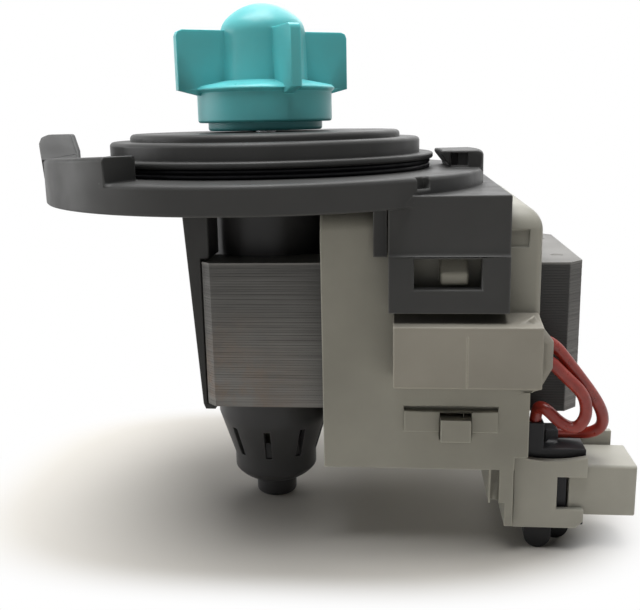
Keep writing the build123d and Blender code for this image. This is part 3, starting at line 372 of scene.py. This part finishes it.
def seal_rubber(name, colour):
    """Moulded rubber: matt, with a grey bloom and soft unevenness."""
    finish = Finish(name)
    bloom = finish.spread(finish.speckle(220.0, detail=5.0), 0.45, 0.8)
    finish.link(finish.tint(bloom, colour, shade(colour, 2.6)), "Base Color")
    finish.link(finish.patchy(400.0, 0.38, 0.6), "Roughness")
    finish.put("Specular IOR Level", 0.12)
    finish.link(finish.bump(finish.speckle(900.0, detail=4.0), 0.00003), "Normal")
    return finish


def sheet_steel(name, colour):
    """Punched sheet steel: fine lines along the cut edges, stains and a faint bloom of rust low down, with painted
    shade on the sides that is darkest below the top, deeper in corners and over the yoke, and painted light at the
    foot.
    """
    steel = settings("steel")
    finish = Finish(name)
    sheets = finish.speckle(1.0, detail=2.0, stretch=(40.0, 40.0, 2200.0), rough=0.6)
    streak = finish.spread(sheets, NOISE_LOW, NOISE_HIGH)
    plain = finish.tint(streak, shade(colour, 0.80), shade(colour, 1.18))
    stain = finish.spread(finish.speckle(75.0, detail=5.0), 0.35, 0.62)
    toned = finish.tint(1.0, plain, finish.tint(stain, (0.86, 0.86, 0.86), (1.0, 1.0, 1.0)), "MULTIPLY")

    apart = finish.add("ShaderNodeSeparateXYZ", {"Vector": finish.place}).outputs
    # Painted shade on the sides of the stack: none on the top face, darkest just below it, turning to painted light
    # at the foot, and darker in corners.
    below = finish.spread(apart["Z"], HIGH.z - steel.clean, HIGH.z - steel.full_shade_depth)
    painted_height_shade = finish.spread(apart["Z"], HIGH.z - steel.darkest, LOW.z, steel.top_tone, steel.foot_tone)
    painted_side_shade = finish.tint(1.0, toned, painted_height_shade, "MULTIPLY")
    painted_side_shade = finish.tint(1.0, painted_side_shade, finish.hollows(steel.hollow, darkest=0.55), "MULTIPLY")
    toned = finish.tint(below, toned, painted_side_shade)

    # Painted shade over the yoke's front, left off its end corner so that the corner stays lighter as painted light.
    unshaded_corner = finish.spread(apart["X"], HIGH.x - steel.unshaded_corner, HIGH.x - steel.unshaded_corner_full)
    yoke = finish.maths("MULTIPLY", finish.spread(apart["X"], steel.yoke_start, steel.yoke_full), below)
    painted_yoke_shade = finish.maths("SUBTRACT", yoke, unshaded_corner, use_clamp=True)
    toned = finish.tint(painted_yoke_shade, toned, shade(colour, 0.16))

    drop = finish.spread(apart["Z"], LOW.z + steel.rust_height, LOW.z)
    side = finish.spread(apart["X"], LOW.x + steel.rust_width, LOW.x)
    spots = finish.spread(finish.speckle(170.0, detail=6.0, rough=0.7), 0.42, 0.64)
    bloom = finish.maths("MULTIPLY", finish.maths("MULTIPLY", drop, side), spots)
    finish.link(finish.tint(bloom, toned, settings("colours").rust), "Base Color")
    finish.link(finish.spread(bloom, 0.0, 0.8, 0.35, 0.05), "Metallic")
    finish.link(finish.spread(streak, 0.0, 1.0, 0.58, 0.46), "Roughness")
    finish.link(finish.bump(sheets, 0.000012), "Normal")
    return finish


def enamelled_wire(name, colour):
    """Layer of fine enamelled wire, wound round the leg in even turns."""
    finish = Finish(name)
    turns = finish.add("ShaderNodeTexWave", {"Vector": finish.place, "Scale": 1250.0, "Distortion": 0.6,
                                             "Detail": 1.0}, wave_type="BANDS", bands_direction="X").outputs["Fac"]
    finish.link(finish.tint(turns, shade(colour, 0.45), shade(colour, 1.3)), "Base Color")
    finish.put("Metallic", 0.75)
    finish.link(finish.patchy(300.0, 0.22, 0.42), "Roughness")
    finish.link(finish.bump(turns, 0.00008), "Normal")
    return finish


def turned_metal(name, colour, roughness, metallic=1.0, grain=700.0, depth=0.00001):
    """Bare or plated metal with fine tool marks and slight tarnish."""
    finish = Finish(name)
    tarnish = finish.spread(finish.speckle(180.0, detail=5.0), 0.35, 0.7)
    finish.link(finish.tint(tarnish, shade(colour, 1.1), shade(colour, 0.7)), "Base Color")
    finish.put("Metallic", metallic)
    finish.link(finish.patchy(grain, roughness - 0.06, roughness + 0.12), "Roughness")
    finish.link(finish.bump(finish.speckle(grain, stretch=(1.0, 1.0, 6.0)), depth), "Normal")
    return finish


def lead_sleeve(name, colour):
    """Soft coloured sleeve: slightly waxy, with rubbed paler patches."""
    finish = Finish(name)
    rubbed = finish.spread(finish.speckle(420.0, detail=4.0), 0.42, 0.75)
    finish.link(finish.tint(rubbed, colour, settings("colours").rubbed), "Base Color")
    finish.link(finish.patchy(600.0, 0.26, 0.40), "Roughness")
    finish.link(finish.bump(finish.speckle(1500.0), 0.00002), "Normal")
    return finish


def impeller_plastic(name, colour):
    """Satin impeller plastic that lets a little light through its vanes."""
    finish = moulded_plastic(name, colour, roughness=0.34, grain=0.000006, corner_shade=0.8, wear_and_highlight=1.25, flow=0.06)
    finish.put("Subsurface Weight", 0.22)
    finish.put("Subsurface Radius", (0.35, 1.0, 1.0))
    finish.put("Subsurface Scale", 0.0016)
    return finish


# Maker, material name and look of each finish, by the name of its colour
FINISHES = {
    "teal": (impeller_plastic, "impeller plastic", {}),
    "dark": (scratched_plastic, "flange plastic", {}),
    "can": (moulded_plastic, "rotor can plastic", {"roughness": 0.4, "wear_and_highlight": 1.6, "gloss": 0.2}),
    "rubber": (seal_rubber, "seal rubber", {}),
    "grey": (moulded_plastic, "housing plastic",
             {"roughness": 0.5, "grain": 0.000016, "corner_shade": 0.62, "wear_and_highlight": 1.5, "reach": 0.011}),
    "cover": (moulded_plastic, "cover plastic",
              {"roughness": 0.5, "grain": 0.000016, "corner_shade": 0.62, "wear_and_highlight": 1.7, "reach": 0.008}),
    "shell": (moulded_plastic, "connector plastic", {"roughness": 0.42}),
    "black": (moulded_plastic, "terminal block plastic", {"roughness": 0.35, "wear_and_highlight": 2.5, "gloss": 0.2}),
    "steel": (sheet_steel, "lamination steel", {}),
    "copper": (enamelled_wire, "enamelled wire", {}),
    "brass": (turned_metal, "plated terminal", {"roughness": 0.28}),
    "bronze": (turned_metal, "sintered bronze",
               {"roughness": 0.5, "metallic": 0.9, "grain": 2400.0, "depth": 0.00002}),
    "lead": (lead_sleeve, "lead sleeve", {}),
    "shaft": (turned_metal, "ground shaft", {"roughness": 0.2}),
    "ferrite": (turned_metal, "ferrite", {"roughness": 0.55, "metallic": 0.2, "grain": 1800.0, "depth": 0.00002}),
    "pale": (moulded_plastic, "natural plastic", {"roughness": 0.42, "wear_and_highlight": 1.1}),
}
# The frame's material slot for each finish that a new piece wears
MATERIALS = {}


def finish_of(key):
    """The material for a finish, made the first time that it is asked for."""
    if key not in MATERIALS:
        maker, name, look = FINISHES[key]
        MATERIALS[key] = maker(name, getattr(settings("colours"), key), **look).material
    return MATERIALS[key]


# Mesh helpers

def new_piece(name, data, finish, node, body="root"):
    """Adds a piece that stands for a node of the frame and moves with its body."""
    piece = bpy.data.objects.new(name, data)
    bpy.context.scene.collection.objects.link(piece)
    data.materials.append(finish_of(finish))
    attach(piece, body)
    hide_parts(node)
    return piece


def smooth(mesh):
    mesh.polygons.foreach_set("use_smooth", [True] * len(mesh.polygons))
    mesh.update()


def clean_shape(node, merge):
    """The node's faces as one clean skin, with its seams welded and, where asked, flat faces made whole."""
    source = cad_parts[node].data
    shape = bmesh.new()
    corners = [shape.verts.new(v.co) for v in source.vertices]
    for polygon in source.polygons:
        shape.faces.new([corners[index] for index in polygon.vertices])
    bmesh.ops.remove_doubles(shape, verts=shape.verts, dist=WELD_REACH)
    if merge:
        bmesh.ops.dissolve_limit(shape, angle_limit=MERGE_ANGLE, verts=shape.verts, edges=shape.edges)
    return shape


def room_beside(edge):
    """The width of rounding that the edges meeting this one leave room for."""
    room = math.inf
    for vertex in edge.verts:
        ahead = edge.other_vert(vertex).co - vertex.co
        for side in vertex.link_edges:
            away = side.other_vert(vertex).co - vertex.co
            turn = ahead.angle(away, 0.0)
            flat = side.calc_face_angle(0.0) < FLAT_ANGLE
            if side != edge and not flat and turn < STRAIGHT_ANGLE:
                room = min(room, ROOM_SHARE * away.length * math.sin(min(turn, math.pi / 2)))
    return room


def weigh_edges(shape, width, sharp_at):
    """Marks the outer corners to round, each as wide as its neighbours allow, and the rest as creases.

    An edge whose lower end lies at the height sharp_at stays a crease too.
    """
    layer = shape.edges.layers.float.new("bevel_weight_edge")
    sharp = [edge for edge in shape.edges if edge.calc_face_angle(0.0) > CORNER_ANGLE]
    for edge in sharp:
        foot = min(vertex.co.z for vertex in edge.verts)
        kept = sharp_at is not None and abs(foot - sharp_at) < FOOT_REACH
        if edge.is_convex and not kept:
            edge[layer] = min(1.0, room_beside(edge) / width)
        else:
            edge.smooth = False
    # A rounding narrows step by step towards a narrow neighbour, so that their corner stays whole
    for _ in range(WEIGHT_PASSES):
        for edge in sharp:
            beside = [other[layer] for vertex in edge.verts for other in vertex.link_edges if other[layer] > 0.0]
            if edge[layer] > 0.0:
                edge[layer] = min([edge[layer]] + [WEIGHT_STEP * weight for weight in beside])


def round_edges(piece, width, steps=3):
    """Rounds the marked edges and keeps flat faces flat."""
    bevel = piece.modifiers.new("rounded edges", "BEVEL")
    bevel.width = width
    bevel.segments = steps
    bevel.limit_method = "WEIGHT"
    bevel.miter_outer = "MITER_ARC"
    bevel.use_clamp_overlap = False
    bevel.loop_slide = False
    flat = piece.modifiers.new("flat faces", "WEIGHTED_NORMAL")
    flat.keep_sharp = True
    flat.weight = 100
    return piece


def moulded_piece(node, name, finish, width, body="root", steps=3, bars=(), merge=False, sharp_at=None):
    """The node's shape with rounded edges, and with thin bars, given by two corners, where a mould line shows."""
    shape = clean_shape(node, merge)
    weigh_edges(shape, width, sharp_at)
    for low, high in bars:
        place = Matrix.Translation((Vector(low) + Vector(high)) / 2)
        size = Matrix.Diagonal((*(Vector(high) - Vector(low)), 1.0))
        bmesh.ops.create_cube(shape, size=1.0, matrix=place @ size)
    mesh = bpy.data.meshes.new(name)
    shape.to_mesh(mesh)
    shape.free()
    smooth(mesh)
    return round_edges(new_piece(name, mesh, finish, node, body), width, steps)


def dress_node(node, finish):
    """Gives a node that is shown as it is, without a new piece, its finish."""
    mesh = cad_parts[node].data
    mesh.materials.clear()
    mesh.materials.append(finish_of(finish))


# Operators, one for each piece or group of like pieces

class PlaceCamera(bpy.types.Operator):
    """Puts the camera at the viewing angle"""
    bl_idname = "drain_pump.camera"
    bl_label = "Camera"

    def execute(self, context):
        view = settings("view")
        turn, dip, roll = view.heading, view.dip, view.roll
        ahead = Vector((math.sin(turn) * math.cos(dip), math.cos(turn) * math.cos(dip), -math.sin(dip)))
        level = Vector((math.cos(turn), -math.sin(turn), 0.0))
        rise = level.cross(ahead)
        right = level * math.cos(roll) + rise * math.sin(roll)
        up = rise * math.cos(roll) - level * math.sin(roll)
        data = bpy.data.cameras.new("camera")
        data.sensor_width = view.sensor
        data.lens = view.lens
        data.clip_start = view.nearest
        data.clip_end = view.farthest
        camera = bpy.data.objects.new("camera", data)
        rows = Matrix((right, up, -ahead)).transposed().to_4x4()
        camera.matrix_world = Matrix.Translation(Vector(view.place)) @ rows
        context.scene.collection.objects.link(camera)
        context.scene.camera = camera
        return {"FINISHED"}


# Course of each lead in millimetres, from its terminal in the cover to the block
FRONT_LEAD = (
    (48.6, -29.9, -34.3), (52.9, -29.7, -34.4), (56.7, -28.9, -38.4), (60.3, -28.0, -42.0), (61.1, -27.0, -46.3),
    (59.5, -26.6, -49.0), (56.8, -26.0, -48.3), (53.9, -25.2, -45.4), (52.7, -22.4, -46.3), (52.7, -22.4, -50.9),
)
REAR_LEAD = (
    (48.6, -28.9, -31.2), (53.2, -28.7, -30.9), (58.3, -27.1, -37.4), (63.9, -24.2, -45.0), (65.3, -22.4, -49.5),
    (63.5, -21.0, -51.8), (60.5, -18.6, -52.7), (57.4, -18.6, -52.7),
)


class BuildLeads(bpy.types.Operator):
    """Lays the two sleeved leads from the terminals to the connector block"""
    bl_idname = "drain_pump.leads"
    bl_label = "Leads"

    def execute(self, context):
        sizes = settings("leads")
        for name, node, places, length in (("front_lead_sleeve", "lead_front", FRONT_LEAD, sizes.front_length),
                                           ("rear_lead_sleeve", "lead_rear", REAR_LEAD, sizes.rear_length)):
            curve = bpy.data.curves.new(name, "CURVE")
            curve.dimensions = "3D"
            curve.resolution_u = 24
            curve.bevel_depth = sizes.diameter / 2
            curve.bevel_resolution = 8
            curve.use_fill_caps = True
            spline = curve.splines.new("NURBS")
            spline.points.add(len(places) - 1)
            for point, place in zip(spline.points, places):
                point.co = (*(Vector(place) * MM), 1.0)
            spline.order_u = 3
            spline.use_endpoint_u = True
            piece = new_piece(name, curve, "lead", node)
        return {"FINISHED"}


class BuildImpeller(bpy.types.Operator):
    """Moulds the vaned impeller with softened edges"""
    bl_idname = "drain_pump.impeller"
    bl_label = "Impeller"

    def execute(self, context):
        edges = settings("edges")
        moulded_piece("impeller", "impeller_moulding", "teal", edges.impeller, body="impeller", steps=4,
                      sharp_at=edges.vane_foot)
        dress_node("coupling_cover", "teal")
        return {"FINISHED"}


class BuildFlange(bpy.types.Operator):
    """Moulds the flange, its hooks and its saddle bracket"""
    bl_idname = "drain_pump.flange"
    bl_label = "Flange"

    def execute(self, context):
        moulded_piece("flange_body", "flange_moulding", "dark", settings("edges").flange)
        return {"FINISHED"}


class BuildSeal(bpy.types.Operator):
    """Fits the two-lipped face seal in the gland"""
    bl_idname = "drain_pump.seal"
    bl_label = "Seal"

    def execute(self, context):
        moulded_piece("seal_ring", "face_seal", "rubber", settings("edges").fine, steps=2)
        return {"FINISHED"}


class BuildRotorCan(bpy.types.Operator):
    """Moulds the rotor can with its fluted tail"""
    bl_idname = "drain_pump.rotor_can"
    bl_label = "Rotor can"

    def execute(self, context):
        moulded_piece("rotor_can", "rotor_can_moulding", "can", settings("edges").can)
        return {"FINISHED"}


def leg_outline(core, side, setback):
    """One side of a sheet, from the slot's inner corner round the bore to the yoke's corner."""
    half = HIGH.y - setback
    left = LOW.x + setback
    right = HIGH.x - setback
    reach = math.sqrt(core.bore ** 2 - core.leg_inner ** 2)
    start = math.atan2(core.leg_inner, reach)
    points = [(core.gap_end, core.leg_inner)]
    for step in range(BORE_STEPS + 1):
        angle = start + (math.pi - 2 * start) * step / BORE_STEPS
        points.append((core.bore * math.cos(angle), core.bore * math.sin(angle)))
    points += [(left, core.leg_inner), (left, half - core.toe), (left + core.toe, half),
               (right - core.yoke, half), (right, half - core.yoke)]
    return [(x, side * y) for x, y in points]


class BuildCore(bpy.types.Operator):
    """Stacks the punched steel sheets of the stator"""
    bl_idname = "drain_pump.core"
    bl_label = "Stator core"

    def execute(self, context):
        core = settings("core")
        draw = random.Random(SHEET_SEED)
        stack = bmesh.new()
        pitch = (HIGH.z - LOW.z) / core.count
        for index in range(core.count):
            top_sheet = index == core.count - 1
            setback = draw.random() * core.stagger
            low = LOW.z + index * pitch
            high = HIGH.z if top_sheet else low + pitch - core.seam
            self.add_sheet(stack, core, setback, low, high, top_sheet)
        bmesh.ops.recalc_face_normals(stack, faces=stack.faces)
        mesh = bpy.data.meshes.new("stator_laminations")
        stack.to_mesh(mesh)
        stack.free()
        new_piece("stator_laminations", mesh, "steel", "stator_core")
        return {"FINISHED"}

    def add_sheet(self, stack, core, setback, low, high, dimpled):
        """Adds one sheet between two heights, with the dimples in its upper face where asked."""
        outline = leg_outline(core, 1, setback) + leg_outline(core, -1, setback)[::-1]
        foot = [stack.verts.new((x, y, low)) for x, y in outline]
        head = [stack.verts.new((x, y, high)) for x, y in outline]
        sides = [(here, (here + 1) % len(outline)) for here in range(len(outline))]
        for here, after in sides:
            stack.faces.new((foot[here], foot[after], head[after], head[here]))
        for ring in (foot, head):
            edges = [stack.edges.get((ring[here], ring[after])) for here, after in sides]
            if dimpled and ring is head:
                edges += self.dimple_edges(stack, core, high)
            bmesh.ops.triangle_fill(stack, edges=edges, use_beauty=True)

    def dimple_edges(self, stack, core, z):
        """Cuts the rims of the two dimples into the top sheet and closes their floors."""
        edges = []
        x = HIGH.x - core.dimple_inset
        for y in (-core.dimple_spread, core.dimple_spread):
            rim = []
            floor = []
            for step in range(DIMPLE_STEPS):
                angle = math.tau * step / DIMPLE_STEPS
                away = Vector((math.cos(angle), math.sin(angle), 0.0)) * core.dimple
                rim.append(stack.verts.new(Vector((x, y, z)) + away))
                floor.append(stack.verts.new(Vector((x, y, z - core.dimple_depth)) + away * DIMPLE_FLOOR_SHARE))
            for here in range(DIMPLE_STEPS):
                after = (here + 1) % DIMPLE_STEPS
                face = stack.faces.new((rim[here], floor[here], floor[after], rim[after]))
                face.smooth = True
                edges.append(stack.edges.get((rim[here], rim[after])))
            stack.faces.new(floor)
        return edges


class BuildHousing(bpy.types.Operator):
    """Moulds the coil housing, its base and the terminal cover"""
    bl_idname = "drain_pump.housing"
    bl_label = "Coil housing"

    def execute(self, context):
        edges = settings("edges")
        lines = settings("lines")
        low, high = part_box("terminal_cover")
        left = low.x + lines.along
        right = left + lines.width
        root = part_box("coil_housing")[0].y + lines.plate_root
        cover_line = ((left, low.y - lines.stand, low.z + lines.cover_foot),
                      (right, low.y + lines.root, high.z - lines.cover_head))
        plate_line = ((left, root - lines.plate_stand, lines.plate_foot), (right, root, lines.plate_head))
        moulded_piece("coil_housing", "coil_housing_moulding", "grey", edges.housing, bars=(plate_line,))
        moulded_piece("housing_base", "housing_base_moulding", "grey", edges.base)
        moulded_piece("terminal_cover", "terminal_cover_moulding", "cover", edges.housing, bars=(cover_line,))
        return {"FINISHED"}


class BuildConnector(bpy.types.Operator):
    """Moulds the connector, its holder and the terminal block"""
    bl_idname = "drain_pump.connector"
    bl_label = "Connector"

    def execute(self, context):
        edges = settings("edges")
        moulded_piece("connector_holder", "connector_holder_moulding", "shell", edges.connector, merge=True)
        moulded_piece("connector_shell", "connector_shell_moulding", "shell", edges.connector)
        moulded_piece("terminal_block", "terminal_block_moulding", "black", edges.block)
        return {"FINISHED"}


class DressInside(bpy.types.Operator):
    """Gives the bearings, rotor, coupling and windings their finishes"""
    bl_idname = "drain_pump.inside"
    bl_label = "Inside pieces"

    def execute(self, context):
        for finish, nodes in (
            ("can", ("bearing_carrier", "front_bobbin", "rear_bobbin")),
            ("rubber", ("front_bearing_ring", "rear_bearing_ring", "shaft_seal", "coupling_damper")),
            ("bronze", ("front_bearing", "rear_bearing")),
            ("copper", ("front_winding", "rear_winding", "coil_link")),
            ("brass", ("lead_terminals", "contact_pins")),
            ("shaft", ("shaft", "shaft_clip", "thermal_fuse")),
            ("pale", ("drive_dog", "rotor_hub", "thrust_washers")),
            ("ferrite", ("rotor_magnet",)),
        ):
            for node in nodes:
                dress_node(node, finish)
        return {"FINISHED"}


class BuildStage(bpy.types.Operator):
    """Lays the pale floor and hangs the soft lamps"""
    bl_idname = "drain_pump.stage"
    bl_label = "Stage"

    def execute(self, context):
        stage = settings("stage")
        self.lay_floor(context, stage)
        self.light_sky(context, stage)
        self.hang_lamps(context, settings("lamps"))
        context.scene.view_settings.view_transform = "Standard"
        return {"FINISHED"}

    def hang_lamps(self, context, lamps):
        aim = Vector(lamps.aim)
        for name in ("top", "back", "side", "low"):
            place = Vector(getattr(lamps, name + "_place"))
            data = bpy.data.lights.new(name + " lamp", "AREA")
            data.energy = getattr(lamps, name + "_power")
            data.size = getattr(lamps, name + "_size")
            lamp = bpy.data.objects.new(name + " lamp", data)
            lamp.location = place
            lamp.rotation_euler = (aim - place).to_track_quat("-Z", "Y").to_euler()
            lamp.visible_camera = False
            context.scene.collection.objects.link(lamp)

    def lay_floor(self, context, stage):
        """Lays a wide floor that shows the pump's shadow on one soft patch and is plain white beyond it."""
        reach = 20.0
        mesh = bpy.data.meshes.new("floor")
        corners = [(x, y, FLOOR_Z) for x, y in ((-reach, -reach), (reach, -reach), (reach, reach), (-reach, reach))]
        mesh.from_pydata(corners, [], [(0, 1, 2, 3)])
        floor = bpy.data.objects.new("floor", mesh)
        context.scene.collection.objects.link(floor)
        finish = Finish("pale floor")
        darker = shade(stage.floor_colour, 0.97)
        finish.link(finish.tint(finish.patchy(18.0), darker, stage.floor_colour), "Base Color")
        finish.put("Roughness", 0.75)
        finish.put("Specular IOR Level", 0.2)
        clear = finish.spread(self.patch_share(finish, stage), stage.clear_start, stage.clear_end,
                              interpolation_type="SMOOTHSTEP")
        factor = finish.maths("MULTIPLY", clear, finish.straight_rays())
        white = finish.add("ShaderNodeEmission", {"Color": WHITE, "Strength": 1.0}).outputs["Emission"]
        mix = finish.add("ShaderNodeMixShader", {0: factor, 1: finish.shader.outputs["BSDF"], 2: white})
        finish.tree.links.new(mix.outputs["Shader"], finish.out.inputs["Surface"])
        mesh.materials.append(finish.material)

    def patch_share(self, finish, stage):
        """0 in the middle of the patch and 1 on its rim, which is an oval drawn out towards its corners."""
        middle = (stage.patch_x, stage.patch_y, FLOOR_Z)
        shares = (1.0 / stage.patch_width, 1.0 / stage.patch_depth, 0.0)
        away = finish.vector_maths("SUBTRACT", finish.place, middle)[0]
        away = finish.vector_maths("MULTIPLY", away, shares)[0]
        away = finish.vector_maths("ABSOLUTE", away)[0]
        square = finish.vector_maths("MULTIPLY", away, away)[0]
        cubes = finish.vector_maths("DOT_PRODUCT", square, away)["Value"]
        return finish.maths("POWER", cubes, 1.0 / 3.0)

    def light_sky(self, context, stage):
        """Lights the pump more from behind than from the viewer's side, and shows a plain white background."""
        world = bpy.data.worlds.new("studio")
        world.use_nodes = True
        sky = NodeTree(world.node_tree)
        ahead = sky.add("ShaderNodeTexCoord").outputs["Generated"]
        depth = sky.add("ShaderNodeSeparateXYZ", {"Vector": ahead}).outputs["Y"]
        soft = sky.spread(depth, -stage.sky_blend, stage.sky_blend, stage.sky_front, stage.sky_back,
                          interpolation_type="SMOOTHSTEP")
        level = sky.spread(sky.straight_rays(), 0.0, 1.0, soft, 1.0)
        background = sky.add("ShaderNodeBackground", {"Color": WHITE, "Strength": level})
        sky.add("ShaderNodeOutputWorld", {"Surface": background.outputs["Background"]})
        context.scene.world = world


class DrainPumpPanel(bpy.types.Panel):
    """Lists the steps that dress the pump"""
    bl_idname = "VIEW3D_PT_drain_pump"
    bl_label = "Drain Pump"
    bl_space_type = "VIEW_3D"
    bl_region_type = "UI"
    bl_category = "Drain Pump"

    def draw(self, context):
        column = self.layout.column(align=True)
        for step in STEPS:
            column.operator(step.bl_idname)


STEPS = (PlaceCamera, BuildLeads, BuildImpeller, BuildFlange, BuildSeal, BuildRotorCan, BuildCore, BuildHousing,
         BuildConnector, DressInside, BuildStage)
GROUPS = {
    "view": DrainPumpView,
    "stage": DrainPumpStage,
    "lamps": DrainPumpLamps,
    "colours": DrainPumpColours,
    "edges": DrainPumpEdges,
    "core": DrainPumpCore,
    "steel": DrainPumpSteel,
    "lines": DrainPumpLines,
    "leads": DrainPumpLeads,
}


def register():
    for group in (*GROUPS.values(), *STEPS, DrainPumpPanel):
        bpy.utils.register_class(group)
    for key, group in GROUPS.items():
        setattr(bpy.types.Scene, "drain_pump_" + key, PointerProperty(type=group))


def unregister():
    for key in GROUPS:
        delattr(bpy.types.Scene, "drain_pump_" + key)
    for group in reversed((*GROUPS.values(), *STEPS, DrainPumpPanel)):
        bpy.utils.unregister_class(group)


def main():
    register()
    for step in STEPS:
        family, action = step.bl_idname.split(".")
        getattr(getattr(bpy.ops, family), action)()


if __name__ == "__main__":
    main()
